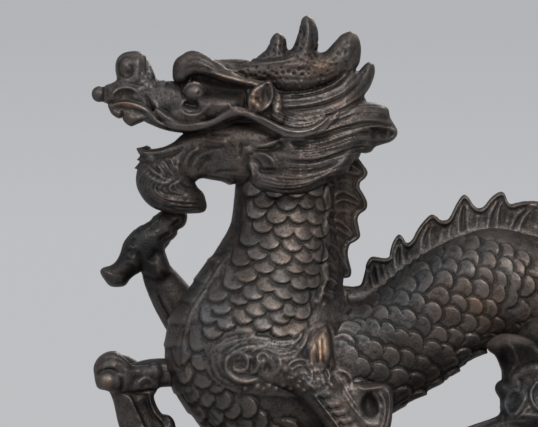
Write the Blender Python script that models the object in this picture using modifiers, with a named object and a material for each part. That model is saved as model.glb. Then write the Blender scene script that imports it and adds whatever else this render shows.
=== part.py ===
"""Cast bronze dragon on its plinth.

The dragon is one casting: head with antlers, mane and beard, scaled neck,
arched back, four legs, fin and tail, and the rocky wave that carries the
chest.  It is lofted and swept in millimetres from the stations below, fused
into one skin and scaled to metres at the end.  The plinth is a second
casting, a moulded slab with round corners.
"""
import math

import bmesh
import bpy
import numpy as np
from mathutils import Vector

# ---------------------------------------------------------------- design
# The dragon faces -X.  Its side elevation is set out on a sheet whose unit
# is 0.3 mm: u runs to the tail, v runs down from above the antlers, and y
# is the real distance across the body in millimetres (the near flank is
# negative).  The sheet is turned OBLIQUE degrees from the dragon's side.
SHEET = 0.3            # mm per sheet unit
U_MID = 446.0          # sheet u of the origin
V_BASE = 556.0         # sheet v of the plinth's underside
OBLIQUE = 4.0          # degrees
PLINTH_TOP = 8.4       # mm
SKEW = math.tan(math.radians(OBLIQUE))


def P(u, v, y=0.0):
    """Sheet position to millimetres in the part's frame."""
    return np.array([(u - U_MID) * SHEET + y * SKEW, y, (V_BASE - v) * SHEET])


def catmull(points, n):
    """n points evenly spaced in parameter on a smooth curve through rows."""
    p = np.asarray(points, float)
    if len(p) < 3:
        s = np.linspace(0, 1, n)[:, None]
        return p[0] * (1 - s) + p[-1] * s
    ext = np.vstack([2 * p[0] - p[1], p, 2 * p[-1] - p[-2]])
    seg = np.linalg.norm(np.diff(p[:, :3], axis=0), axis=1) ** 0.5 + 1e-6
    knots = np.concatenate([[0], np.cumsum(seg)])
    out = []
    for s in np.linspace(0, knots[-1], n):
        i = min(int(np.searchsorted(knots, s, side="right")) - 1, len(p) - 2)
        h = knots[i + 1] - knots[i]
        t = (s - knots[i]) / h
        p0, p1, p2, p3 = ext[i], ext[i + 1], ext[i + 2], ext[i + 3]
        h0 = seg[i - 1] if i > 0 else h
        h2 = seg[i + 1] if i + 1 < len(seg) else h
        m1 = ((p1 - p0) / h0 * h + (p2 - p1) / h * h0) / (h0 + h) * h
        m2 = ((p2 - p1) / h * h2 + (p3 - p2) / h2 * h) / (h + h2) * h
        t2, t3 = t * t, t * t * t
        out.append((2 * t3 - 3 * t2 + 1) * p1 + (t3 - 2 * t2 + t) * m1
                   + (-2 * t3 + 3 * t2) * p2 + (t3 - t2) * m2)
    return np.array(out)


# Neck, chest and back: (dorsal u, v), (ventral u, v), half-width mm
TRUNK = [
    (334, 150, 246, 150, 11.5), (337, 192, 237, 186, 13.5),
    (338, 226, 232, 224, 14.5), (341, 255, 215, 254, 16.0),
    (344, 277, 193, 288, 18.5), (347, 290, 169, 327, 20.5),
    (350, 296, 167, 372, 21.5), (353, 300, 187, 409, 21.8),
    (357, 301, 222, 441, 21.5), (362, 299, 272, 460, 20.8),
    (369, 293, 322, 452, 19.8), (381, 283, 362, 429, 19.0),
    (401, 266, 401, 404, 18.5), (429, 248, 441, 380, 18.2),
    (462, 233, 478, 358, 18.2), (497, 226, 500, 350, 18.2),
]
# Loins and tail: centre u, v, radius (sheet units), y mm
TAIL = [
    (547, 306, 60, 0.5), (590, 341, 56, 2.5), (628, 377, 50, 5.5),
    (665, 402, 43, 9.0), (704, 409, 36, 11.0), (740, 390, 30.5, 9.0),
    (763, 350, 26.5, 4.0), (768, 302, 23, -1.5), (758, 255, 19.5, -5.0),
    (744, 212, 16.5, -5.5), (738, 172, 13.5, -3.0), (744, 136, 10, 0.0),
    (757, 106, 6.5, 1.0),
]


def trunk_stations():
    """Every station as (dorsal xyz, ventral xyz, half-width) rows in mm."""
    rows = [np.concatenate([P(du, dv), P(vu, vv), [w]])
            for du, dv, vu, vv, w in TRUNK]
    c = np.array([(u, v) for u, v, r, y in TAIL], float)
    first = np.array([(TRUNK[-1][0] + TRUNK[-1][2]) / 2,
                      (TRUNK[-1][1] + TRUNK[-1][3]) / 2])
    full = np.vstack([first, c])
    for i, (u, v, r, y) in enumerate(TAIL):
        nxt = full[min(i + 2, len(full) - 1)]
        d = nxt - full[i]
        d /= np.linalg.norm(d)
        n = np.array([d[1], -d[0]])
        rows.append(np.concatenate([P(u + n[0] * r, v + n[1] * r, y),
                                    P(u - n[0] * r, v - n[1] * r, y),
                                    [r * SHEET * 0.97]]))
    return np.array(rows)


def trunk_frames(n):
    """(centre, dorsal unit, dorsal half-height, side unit, half-width) at n
    stations from the nape to the tail's tip."""
    s = catmull(trunk_stations(), n)
    d, v, w = s[:, 0:3], s[:, 3:6], s[:, 6]
    c = (d + v) / 2
    up = d - v
    a = np.linalg.norm(up, axis=1) / 2
    up = up / (2 * a)[:, None]
    t = np.gradient(c, axis=0)
    t /= np.linalg.norm(t, axis=1)[:, None]
    side = np.cross(up, t)
    side /= np.linalg.norm(side, axis=1)[:, None]
    return c, up, a, side, w


# Dorsal fin: trunk station where each spike stands, and its height (mm)
FIN_ROOT = 1.2

# Limbs: chains of (u, v, y mm, radius in sheet units)
NEAR_ARM = [(262, 360, -14, 28), (292, 368, -19, 22), (312, 382, -22, 18), (330, 402, -24, 17),
            (346, 424, -25, 17.5), (360, 448, -25, 17), (357, 470, -24.5, 17), (336, 483, -24, 17.5),
            (296, 488, -21.5, 17.5), (248, 484, -16.5, 18), (206, 476, -11, 18.5), (172, 460, -6, 19),
            (149, 438, -3, 20), (138, 412, -1, 20.3), (133, 392, 0, 19)]
NEAR_DIGITS = [
    [(140, 380, -2.5, 14), (128, 370, -6, 13), (114, 369, -8, 12), (109, 380, -8.5, 10.5)],
    [(141, 378, 3.5, 14), (128, 365, 6, 14), (113, 364, 6, 13.5), (104, 374, 4.5, 9.5)],
    [(136, 378, 0.5, 14), (154, 373, 1, 14), (176, 372.5, 1.5, 13.8)],
    [(145, 396, 5, 14), (150, 404, 10, 12), (144, 416, 13, 11), (132, 420, 14, 8)],
    [(152, 432, -3, 13), (164, 425, -4, 10.5)],
]
FAR_ARM = [(282, 352, 16, 27), (262, 380, 21.5, 24), (246, 410, 24.5, 21),
           (234, 422, 24, 21), (222, 402, 21, 22), (207, 362, 17.5, 23), (192, 331, 15, 22.5),
           (177, 307, 12.5, 21.3), (166, 287, 11, 18.3), (157.5, 271, 9.5, 15.3), (152, 254, 8.5, 14)]
FAR_DIGITS = [
    [(152, 238, 7.5, 18), (141, 246, 7.2, 18), (131, 258, 7, 16.5), (118, 274, 6.5, 12.3), (108, 275, 6.5, 8)],
    [(150, 240, 7.5, 16.5), (160, 231, 6.5, 14), (169, 221, 5.5, 13), (175, 216.5, 5, 11.3)],
    [(156, 238, 9, 13), (164, 236, 8.5, 10), (169, 233.5, 8, 8)],
    [(150, 240, 11, 14), (158, 230, 15.5, 12), (160, 215, 17.5, 10.5), (152, 206, 17.5, 7.5)],
]
NEAR_HIND = [(556, 344, -9, 44), (545, 380, -17, 38.5), (530, 409, -21.5, 29.5), (506, 433, -24, 21.5),
             (474, 443, -25, 18.5), (452, 457, -25, 16.5), (462, 474, -25, 14),
             (490, 486, -24.5, 12.5), (514, 498, -24, 12.5), (508, 512, -24, 12),
             (488, 514, -24, 13.5)]
NEAR_HIND_DIGITS = [
    [(492, 514, -24, 12.5), (470, 508, -27.5, 9.5), (452, 513, -29.5, 9), (440, 524, -30, 6)],
    [(492, 514, -24, 12.5), (466, 507, -24.5, 10), (446, 511, -24.8, 9.5), (433, 523, -25, 6)],
    [(492, 514, -24, 12.5), (470, 508, -21.5, 9.5), (453, 513, -19.8, 9), (441, 524, -19.5, 6)],
    [(508, 512, -24, 11), (526, 512, -24.5, 9), (538, 523, -25, 5.5)],
]
FAR_HIND = [(592, 372, 14, 36), (600, 404, 21, 30), (588, 434, 25, 23),
            (566, 456, 27, 19), (556, 470, 27.5, 15.5), (572, 484, 27.5, 13),
            (600, 494, 27, 12.5), (616, 504, 26.5, 12.5), (606, 514, 26.5, 12),
            (590, 514, 26.5, 13.5)]
FAR_HIND_DIGITS = [
    [(594, 514, 26.5, 12.5), (572, 508, 30, 9.5), (554, 513, 32, 9), (542, 524, 32.5, 6)],
    [(594, 514, 26.5, 12.5), (568, 507, 27, 10), (548, 511, 27.2, 9.5), (535, 523, 27.4, 6)],
    [(594, 514, 26.5, 12.5), (572, 508, 24, 9.5), (555, 513, 22.4, 9), (543, 524, 22, 6)],
    [(608, 513, 26.5, 11), (627, 513, 27, 9), (638, 523, 27.2, 5.5)],
]

# Head: chains (u, v, y mm, radius) with a flatness (width / depth); chains
# with pair=True are made on both flanks, y negative being the near one.
HEAD = [
    # name, pair, flat, points
    ("muzzle", False, 1.55, [(148, 101, 0, 16), (165, 103, 0, 20), (190, 106, 0, 24), (215, 108, 0, 28)]),
    ("cranium", False, 1.20, [(205, 92, 0, 30), (235, 96, 0, 34), (262, 102, 0, 34), (290, 110, 0, 32)]),
    ("crown", False, 1.45, [(212, 70, 0, 10), (235, 70, 0, 11), (262, 76, 0, 15), (300, 86, 0, 18)]),
    ("cheek", False, 1.05, [(214, 140, 0, 27), (240, 146, 0, 31), (268, 146, 0, 34)]),
    ("nose", False, 1.25, [(127, 70, 0, 12), (131, 66, 0, 14), (136, 68, 0, 14)]),
    ("nose_root", False, 1.5, [(131, 76, 0, 15), (133, 88, 0, 17), (140, 98, 0, 17)]),
    ("nose_ball", False, 1.0, [(116, 88, 0, 9), (108, 92, 0, 6.5), (100, 94.5, 0, 7.4)]),
    ("nostril_wing", True, 0.75, [(121, 97, -6.5, 9), (130, 97, -7.5, 11), (140, 101, -7, 10)]),
    ("fang_base", True, 0.5, [(113, 106, -4.5, 5.5), (122, 110, -6, 7), (138, 112, -6.5, 8)]),
    ("fang", True, 0.45, [(133, 112, -6.2, 8), (131.5, 121, -6.3, 4.2)]),
    ("brow", True, 0.8, [(178, 72, -6.5, 8), (187, 66, -7.5, 13), (200, 66, -9, 13.5), (216, 71, -10.5, 11),
                         (234, 79, -12, 8), (250, 86, -13, 5.5), (262, 92, -14, 4)]),
    ("brow_lip", True, 1.0, [(180, 79, -8.5, 3.6), (198, 78.5, -11.5, 3.8), (217, 79, -13.2, 3.6),
                             (236, 85, -14.4, 3.6), (252, 90, -14.6, 3.6), (264, 95, -14.8, 3.2)]),
    ("eye", True, 1.0, [(195.4, 97, -9.6, 11), (196.4, 97, -9.6, 11)]),
    ("eye_lid", True, 1.0, [(184, 104, -7.8, 3.4), (190, 110.5, -8.8, 3.6), (200, 111.5, -9.4, 3.6), (208, 105, -9.4, 3.2)]),
    ("lip", True, 1.0, [(147, 110, -8, 3.6), (156, 119.5, -9.4, 3.8), (168, 125.5, -10.8, 3.8), (185, 129.5, -12, 3.8),
                        (202, 128.5, -13, 3.6), (217, 123.5, -14, 3.6), (231, 117.8, -15, 3.6), (243, 116.5, -15.6, 3.8),
                        (256, 120, -16.2, 4.0), (272, 128, -17, 4.2), (290, 135, -18, 4.2), (306, 136, -18.4, 3.8),
                        (318, 131.5, -18.2, 3.2), (330, 121, -17.6, 2.6)]),
    ("upper_jaw", False, 1.55, [(152, 114, 0, 11), (170, 117, 0, 15), (195, 118, 0, 17), (225, 116, 0, 20)]),
    ("jaw", False, 1.7, [(252, 160, 0, 22), (222, 160, 0, 17), (200, 159, 0, 14.5), (178, 158, 0, 12.5), (160, 160, 0, 11.5)]),
    ("jaw_tip", False, 1.9, [(186, 146, 0, 8), (174, 151, 0, 7), (160, 155, 0, 7), (147, 154, 0, 5), (140, 151.5, 0, 2.8)]),
    ("tongue", False, 1.2, [(200, 140, 0, 10), (190, 143, 0, 8), (180, 147, 0, 5.5)]),
    ("chin", False, 1.5, [(182, 170, 0, 13), (166, 170, 0, 13), (152, 170, 0, 12)]),
    ("beard", False, 1.6, [(186, 174, 0, 12), (164, 177, 0, 16), (153, 184, 0, 17), (158, 194, 0, 17), (174, 199, 0, 14.5),
                           (189, 202, 0, 11.5), (199, 204, 0, 8.5)]),
    ("beard_tip", False, 1.0, [(190, 190, 0, 9), (199, 194, 0, 7), (204, 206, 0, 5)]),
    ("antler", True, 0.85, [(222, 74, -5.5, 8), (250, 74, -7.2, 12), (276, 77, -8.6, 16), (300, 79, -9.2, 17),
                            (322, 73, -9.4, 15), (338, 61, -9.4, 13), (348, 48, -9.4, 12), (351, 42.5, -9.4, 10.5)]),
    ("tine_front", True, 0.8, [(271, 72, -8.2, 15), (274.5, 58, -8.2, 12.5), (277, 48, -8.2, 10), (278, 42, -8.2, 8.2)]),
    ("tine_mid", True, 0.8, [(302, 74, -8.8, 15), (304.5, 56, -8.8, 13.2), (306, 40, -8.8, 11.6), (306.4, 28.5, -8.8, 10.8)]),
    ("ear", True, 0.62, [(250, 108, -14.6, 9), (260, 101, -16.6, 12), (266, 95, -17.6, 11), (270, 86, -18, 5)]),
    ("mane_1", True, 0.75, [(276, 104, -12, 15), (306, 100, -14, 16), (336, 90, -12.5, 14), (356, 78, -9.5, 10), (370, 68, -7, 5)]),
    ("mane_2", True, 0.75, [(284, 120, -14.5, 15), (318, 116, -15.5, 15), (346, 102, -13, 13), (364, 88, -9.5, 9), (371, 78, -8, 6)]),
    ("mane_3", True, 0.75, [(300, 134, -14.5, 14), (332, 130, -15.5, 15), (356, 117, -13, 13), (376, 112, -10.5, 9), (386, 116, -9.5, 6)]),
    ("mane_4", True, 0.75, [(286, 150, -14.5, 15), (318, 150, -16, 15), (344, 140, -14.5, 14), (366, 131, -12, 11), (384, 130, -10.5, 8.5), (391, 132, -10, 7)]),
    ("mane_5", True, 0.75, [(270, 160, -12.5, 16), (300, 164, -15.5, 15), (328, 160, -15, 12), (350, 150, -12.5, 9), (364, 147, -11, 6)]),
    ("mane_6", True, 0.75, [(256, 170, -11, 14), (280, 183, -14, 12), (304, 186, -15.2, 11), (326, 176, -15, 9), (345, 176, -13, 7)]),
    ("mane_back", False, 1.4, [(296, 98, 0, 28), (320, 108, 0, 30), (336, 124, 0, 28), (340, 148, 0, 24)]),
]

# Dorsal fin tips as they stand on the sheet, head to loins
FIN_TIPS = [(367.5, 172.5), (367, 206), (360, 238), (350, 268), (370, 259), (399, 236.5),
            (433, 216), (466, 196), (504, 192.5), (540, 202)]
FIN_BREAK = 3          # the fin stops after this tooth, at the crook of the neck

# Rocky wave that carries the chest: chains (u, v, y mm, radius)
CREST = [(298, 448, 0, 26), (294, 478, 0, 25), (288, 508, 0, 32), (284, 534, 0, 46)]
ELBOW_CURL = [(352, 390, -22, 10), (368, 392, -24.5, 13), (376, 408, -25.5, 13), (374, 430, -25.5, 13),
              (366, 448, -25, 13)]
CREST_SIDE = [
    [(262, 520, -6, 16), (246, 512, -7, 13), (238, 520, -7, 10)],
    [(318, 522, 7, 18), (338, 516, 8, 13), (346, 524, 8, 9)],
    [(292, 508, -9, 18), (296, 520, -13, 15), (304, 528, -16, 13)],
    [(284, 508, 10, 18), (276, 520, 13, 15), (266, 528, 16, 13)],
]

# Plinth: half length, half width, corner radius (mm)
PLINTH = (74.0, 37.0, 22.0)
# Moulding: (height mm, inset mm)
MOULDING = [(0, 0.4), (0.5, 0.0), (2.0, 0.0), (2.6, 0.7), (3.1, 1.7), (3.9, 2.6), (5.0, 3.1),
            (6.1, 3.0), (6.9, 2.4), (7.5, 1.5), (8.4, 1.2)]

# Flame at the tail's end: chains (u, v, y mm, radius)
TAIL_TUFT = [
    [(742, 140, 0, 9), (756, 112, 0.5, 9), (766, 88, 1, 6.5), (764, 66, 1, 3)],
    [(742, 146, -1, 9), (768, 126, -2, 9), (784, 106, -2.5, 6), (786, 86, -2.5, 3)],
    [(744, 152, 1, 8), (774, 146, 2, 8), (794, 130, 2.5, 5.5), (799, 112, 2.5, 3)],
    [(738, 142, 1, 8), (738, 116, 2, 8), (743, 92, 2.5, 5.5), (738, 74, 2.5, 3)],
]

DRAGON_TRIANGLES = 7600

# ---------------------------------------------------------------- helpers
MM = 0.001


def clear_scene():
    for obj in list(bpy.data.objects):
        bpy.data.objects.remove(obj, do_unlink=True)
    for mesh in list(bpy.data.meshes):
        bpy.data.meshes.remove(mesh)


def collection(name):
    col = bpy.data.collections.new(name)
    bpy.context.scene.collection.children.link(col)
    return col


def metal(name, colour, roughness, metallic):
    mat = bpy.data.materials.new(name)
    mat.use_nodes = True
    shader = mat.node_tree.nodes["Principled BSDF"]
    shader.inputs["Base Color"].default_value = (*colour, 1.0)
    shader.inputs["Roughness"].default_value = roughness
    shader.inputs["Metallic"].default_value = metallic
    mat.diffuse_color = (*colour, 1.0)
    return mat


class Skin:
    """Closed shells gathered in one mesh, in millimetres."""

    def __init__(self):
        self.bm = bmesh.new()

    def rings(self, rings):
        """Rings of equal length joined into a closed tube with flat ends."""
        loops = [[self.bm.verts.new(Vector(p) * MM) for p in ring] for ring in rings]
        n = len(loops[0])
        for a, b in zip(loops, loops[1:]):
            for i in range(n):
                j = (i + 1) % n
                self.bm.faces.new((a[i], a[j], b[j], b[i]))
        self.bm.faces.new(loops[0][::-1])
        self.bm.faces.new(loops[-1])

    def limb(self, chain, flat=1.0, mirror=False, sides=16, steps=0):
        """Round swept limb through (u, v, y, radius) with domed ends."""
        pts = np.array([[*P(u, v, y), r * SHEET] for u, v, y, r in chain])
        if mirror:
            pts[:, 1] *= -1
        length = np.linalg.norm(np.diff(pts[:, :3], axis=0), axis=1).sum()
        n = steps or max(4, int(length / 1.6))
        pts = catmull(pts, n)
        c, r = pts[:, :3], np.maximum(pts[:, 3], 0.5)
        t = np.gradient(c, axis=0)
        t /= np.linalg.norm(t, axis=1)[:, None] + 1e-9
        side = np.cross(t[0], (0, 1, 0) if abs(t[0][1]) < 0.9 else (1, 0, 0))
        rings = []
        for k in range(n):
            side = side - t[k] * side.dot(t[k])
            side /= np.linalg.norm(side)
            other = np.cross(t[k], side)
            caps = [(0.0, 1.0)]
            if k == 0:
                caps = [(-math.cos(a), math.sin(a)) for a in (0.25, 0.6, 1.0, 1.35)] + caps
            if k == n - 1:
                caps += [(math.cos(a), math.sin(a)) for a in (1.35, 1.0, 0.6, 0.25)]
            for shift, size in caps:
                ring = []
                for i in range(sides):
                    a = 2 * math.pi * i / sides
                    o = (side * math.cos(a) + other * math.sin(a)) * r[k] * size
                    o = o + t[k] * shift * r[k]
                    ring.append(c[k] + o * np.array([1, flat, 1]))
                rings.append(ring)
        self.rings(rings)

    def finish(self, name, col, mat):
        bmesh.ops.recalc_face_normals(self.bm, faces=self.bm.faces)
        mesh = bpy.data.meshes.new(name)
        self.bm.to_mesh(mesh)
        self.bm.free()
        mesh.materials.append(mat)
        obj = bpy.data.objects.new(name, mesh)
        col.objects.link(obj)
        return obj


def baked(obj):
    """Applies the object's modifiers to its mesh."""
    graph = bpy.context.evaluated_depsgraph_get()
    mesh = bpy.data.meshes.new_from_object(obj.evaluated_get(graph), depsgraph=graph)
    old = obj.data
    obj.modifiers.clear()
    obj.data = mesh
    bpy.data.meshes.remove(old)
    mesh.name = obj.name


def modifier(obj, kind, **values):
    mod = obj.modifiers.new(kind.title(), kind)
    for key, value in values.items():
        setattr(mod, key, value)
    return mod


# ---------------------------------------------------------------- dragon
def trunk(skin):
    """Neck, back and tail: superelliptic sections along the stations."""
    c, up, a, side, w = trunk_frames(150)
    rings = []
    for k in range(len(c)):
        ring = []
        for i in range(28):
            q = 2 * math.pi * i / 28
            x, y = math.cos(q), math.sin(q)
            x = math.copysign(abs(x) ** 0.92, x)
            y = math.copysign(abs(y) ** 0.92, y)
            ring.append(c[k] + up[k] * a[k] * x + side[k] * w[k] * y)
        rings.append(ring)
    skin.rings(rings)


def fin(skin):
    """Toothed dorsal fin: a thin sheet with a saw-tooth edge."""
    c, up, a, side, w = trunk_frames(700)
    dorsal = c + up * a[:, None]
    place, tall = fin_teeth(dorsal, up, a)
    height = fin_height(len(c), place, tall)
    last = int(place[-1]) + 12
    rings = []
    for k in range(4, min(last, len(c) - 3), 2):
        h = max(height[k], 1.5)
        low = c[k] + up[k] * (a[k] - min(5.0, a[k] * 0.7))
        high = c[k] + up[k] * (a[k] + h)
        t0 = min(1.5, w[k] * 0.4)
        t1 = min(0.9, w[k] * 0.3)
        rings.append([low - side[k] * t0, low + side[k] * t0,
                      high + side[k] * t1, high - side[k] * t1])
    skin.rings(rings)


def fin_teeth(dorsal, up, a):
    """Stations and heights (mm) of the fin's teeth, head to tail tip."""
    place, tall = [], []
    start = 0
    for u, v in FIN_TIPS:
        gap = P(u, v) - dorsal[start:start + 200]
        along = (gap * up[start:start + 200]).sum(axis=1)
        off = np.linalg.norm((gap - along[:, None] * up[start:start + 200])[:, [0, 2]], axis=1)
        off[along < 1.0] = 1e9
        k = int(np.argmin(off))
        place.append(start + k)
        tall.append(float(min(max(along[k], 4.0), 11.5)))
        start += k + 8
    run = np.concatenate([[0], np.cumsum(np.linalg.norm(np.diff(dorsal, axis=0), axis=1))])
    pitch = 10.2
    at = run[place[-1]] + pitch
    while at < run[-1] - 6:
        k = int(np.searchsorted(run, at))
        place.append(k)
        tall.append(2.0 + 7.5 * min(1.0, a[k] / 15.0))
        pitch = 5.5 + 4.7 * min(1.0, a[k] / 15.0)
        at += pitch
    return place, tall


def fin_height(n, place, tall):
    """Saw-tooth height at every station: a swelling front edge, a cut back."""
    height = np.zeros(n)
    for i, (k, h) in enumerate(zip(place, tall)):
        before = place[i - 1] if i else k - 22
        after = place[i + 1] if i + 1 < len(place) else k + 18
        notch = k + (after - k) * 0.30
        last = before + (k - before) * 0.30
        rise = 0.0 if i == FIN_BREAK + 1 else 0.45
        fall = 0.0 if i == FIN_BREAK else 0.45
        for j in range(max(0, int(last)), min(n, int(notch) + 1)):
            if j <= k:
                t = (j - last) / max(1e-6, k - last)
                height[j] = h * (rise + (1 - rise) * math.sin(0.5 * math.pi * max(0, t)) ** 0.8)
            else:
                t = (j - k) / max(1e-6, notch - k)
                height[j] = h * (fall + (1 - fall) * max(0.0, 1 - t) ** 1.6)
    return height


def build_dragon(col, mat):
    skin = Skin()
    trunk(skin)
    fin(skin)
    for name, pair, flat, chain in HEAD:
        skin.limb(chain, flat)
        if pair:
            skin.limb(chain, flat, mirror=True)
    for chain in (NEAR_ARM, FAR_ARM, NEAR_HIND, FAR_HIND, CREST, ELBOW_CURL):
        skin.limb(chain)
    for group in (NEAR_DIGITS, FAR_DIGITS, NEAR_HIND_DIGITS, FAR_HIND_DIGITS, CREST_SIDE):
        for chain in group:
            skin.limb(chain)
    for chain in TAIL_TUFT:
        skin.limb(chain, 0.7)
    dragon = skin.finish("dragon", col, mat)
    modifier(dragon, "REMESH", mode="VOXEL", voxel_size=0.00075)
    baked(dragon)
    modifier(dragon, "SMOOTH", iterations=3, factor=0.5)
    baked(dragon)
    faces = sum(len(p.vertices) - 2 for p in dragon.data.polygons)
    modifier(dragon, "DECIMATE", ratio=DRAGON_TRIANGLES / faces)
    baked(dragon)
    return dragon


def cut_feet(dragon, col):
    """Everything under the plinth's deck comes off flat, 0.3 mm above it."""
    bm = bmesh.new()
    bmesh.ops.create_cube(bm, size=1.0)
    mesh = bpy.data.meshes.new("deck_cutter")
    bm.to_mesh(mesh)
    bm.free()
    cutter = bpy.data.objects.new("deck_cutter", mesh)
    cutter.scale = (0.4, 0.3, 0.08)
    cutter.location = (0, 0, (PLINTH_TOP + 0.3) * MM - 0.04)
    cutter.hide_render = True
    cutter.display_type = "WIRE"
    col.objects.link(cutter)
    bpy.context.view_layer.update()
    modifier(dragon, "BOOLEAN", operation="DIFFERENCE", solver="EXACT", object=cutter)
    baked(dragon)


# ---------------------------------------------------------------- plinth
def outline(inset, n=12):
    hx, hy, r = PLINTH[0] - inset, PLINTH[1] - inset, PLINTH[2] - inset * 0.6
    pts = []
    for sx, sy, start in ((1, 1, 0), (-1, 1, 90), (-1, -1, 180), (1, -1, 270)):
        for i in range(n + 1):
            a = math.radians(start + 90 * i / n)
            pts.append((sx * (hx - r) + r * math.cos(a), sy * (hy - r) + r * math.sin(a)))
    return pts


def build_plinth(col, mat):
    skin = Skin()
    skin.rings([[(x, y, z) for x, y in outline(inset)] for z, inset in MOULDING])
    return skin.finish("plinth", col, mat)


def main():
    clear_scene()
    parts = collection("dragon_sculpture")
    cutters = collection("cutters")
    bronze = metal("dragon_bronze", (0.052, 0.043, 0.037), 0.42, 0.85)
    base = metal("plinth_bronze", (0.042, 0.035, 0.030), 0.48, 0.85)
    dragon = build_dragon(parts, bronze)
    cut_feet(dragon, cutters)
    build_plinth(parts, base)


main()
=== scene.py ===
"""Looks of the cast bronze dragon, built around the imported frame.

All relief is modelled in millimetres from the same stations as the castings
and written out in metres: the scaled trunk is a tube grid lifted by a scale
lattice, the head and limbs are distance fields turned into one skin each.
"""
import math
import time

import bpy
import numpy as np
from mathutils import Matrix, Vector


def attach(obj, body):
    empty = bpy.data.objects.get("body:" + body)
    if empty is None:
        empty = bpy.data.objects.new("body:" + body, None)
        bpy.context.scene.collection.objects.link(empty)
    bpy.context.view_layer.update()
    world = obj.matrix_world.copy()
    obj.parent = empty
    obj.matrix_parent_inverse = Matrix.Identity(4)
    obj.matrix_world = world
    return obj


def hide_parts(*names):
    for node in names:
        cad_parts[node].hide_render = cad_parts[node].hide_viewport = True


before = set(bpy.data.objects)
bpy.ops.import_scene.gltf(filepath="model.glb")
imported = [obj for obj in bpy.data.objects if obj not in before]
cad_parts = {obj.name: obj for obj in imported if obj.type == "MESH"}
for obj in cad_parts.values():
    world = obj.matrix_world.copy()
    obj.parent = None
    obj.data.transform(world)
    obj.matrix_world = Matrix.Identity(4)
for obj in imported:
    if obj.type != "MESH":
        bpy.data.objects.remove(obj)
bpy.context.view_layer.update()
START = time.time()
MM = 0.001

# ---------------------------------------------------------------- design
# The dragon faces -X.  Its side elevation is set out on a sheet whose unit
# is 0.3 mm: u runs to the tail, v runs down from above the antlers, and y
# is the real distance across the body in millimetres (the near flank is
# negative).  The sheet is turned OBLIQUE degrees from the dragon's side.
SHEET = 0.3            # mm per sheet unit
U_MID = 446.0          # sheet u of the origin
V_BASE = 556.0         # sheet v of the plinth's underside
OBLIQUE = 4.0          # degrees
PLINTH_TOP = 8.4       # mm
SKEW = math.tan(math.radians(OBLIQUE))


def P(u, v, y=0.0):
    """Sheet position to millimetres in the part's frame."""
    return np.array([(u - U_MID) * SHEET + y * SKEW, y, (V_BASE - v) * SHEET])


def catmull(points, n):
    """n points evenly spaced in parameter on a smooth curve through rows."""
    p = np.asarray(points, float)
    if len(p) < 3:
        s = np.linspace(0, 1, n)[:, None]
        return p[0] * (1 - s) + p[-1] * s
    ext = np.vstack([2 * p[0] - p[1], p, 2 * p[-1] - p[-2]])
    seg = np.linalg.norm(np.diff(p[:, :3], axis=0), axis=1) ** 0.5 + 1e-6
    knots = np.concatenate([[0], np.cumsum(seg)])
    out = []
    for s in np.linspace(0, knots[-1], n):
        i = min(int(np.searchsorted(knots, s, side="right")) - 1, len(p) - 2)
        h = knots[i + 1] - knots[i]
        t = (s - knots[i]) / h
        p0, p1, p2, p3 = ext[i], ext[i + 1], ext[i + 2], ext[i + 3]
        h0 = seg[i - 1] if i > 0 else h
        h2 = seg[i + 1] if i + 1 < len(seg) else h
        m1 = ((p1 - p0) / h0 * h + (p2 - p1) / h * h0) / (h0 + h) * h
        m2 = ((p2 - p1) / h * h2 + (p3 - p2) / h2 * h) / (h + h2) * h
        t2, t3 = t * t, t * t * t
        out.append((2 * t3 - 3 * t2 + 1) * p1 + (t3 - 2 * t2 + t) * m1
                   + (-2 * t3 + 3 * t2) * p2 + (t3 - t2) * m2)
    return np.array(out)


# Neck, chest and back: (dorsal u, v), (ventral u, v), half-width mm
TRUNK = [
    (334, 150, 246, 150, 11.5), (337, 192, 237, 186, 13.5),
    (338, 226, 232, 224, 14.5), (341, 255, 215, 254, 16.0),
    (344, 277, 193, 288, 18.5), (347, 290, 169, 327, 20.5),
    (350, 296, 167, 372, 21.5), (353, 300, 187, 409, 21.8),
    (357, 301, 222, 441, 21.5), (362, 299, 272, 460, 20.8),
    (369, 293, 322, 452, 19.8), (381, 283, 362, 429, 19.0),
    (401, 266, 401, 404, 18.5), (429, 248, 441, 380, 18.2),
    (462, 233, 478, 358, 18.2), (497, 226, 500, 350, 18.2),
]
# Loins and tail: centre u, v, radius (sheet units), y mm
TAIL = [
    (547, 306, 60, 0.5), (590, 341, 56, 2.5), (628, 377, 50, 5.5),
    (665, 402, 43, 9.0), (704, 409, 36, 11.0), (740, 390, 30.5, 9.0),
    (763, 350, 26.5, 4.0), (768, 302, 23, -1.5), (758, 255, 19.5, -5.0),
    (744, 212, 16.5, -5.5), (738, 172, 13.5, -3.0), (744, 136, 10, 0.0),
    (757, 106, 6.5, 1.0),
]


def trunk_stations():
    """Every station as (dorsal xyz, ventral xyz, half-width) rows in mm."""
    rows = [np.concatenate([P(du, dv), P(vu, vv), [w]])
            for du, dv, vu, vv, w in TRUNK]
    c = np.array([(u, v) for u, v, r, y in TAIL], float)
    first = np.array([(TRUNK[-1][0] + TRUNK[-1][2]) / 2,
                      (TRUNK[-1][1] + TRUNK[-1][3]) / 2])
    full = np.vstack([first, c])
    for i, (u, v, r, y) in enumerate(TAIL):
        nxt = full[min(i + 2, len(full) - 1)]
        d = nxt - full[i]
        d /= np.linalg.norm(d)
        n = np.array([d[1], -d[0]])
        rows.append(np.concatenate([P(u + n[0] * r, v + n[1] * r, y),
                                    P(u - n[0] * r, v - n[1] * r, y),
                                    [r * SHEET * 0.97]]))
    return np.array(rows)


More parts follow.
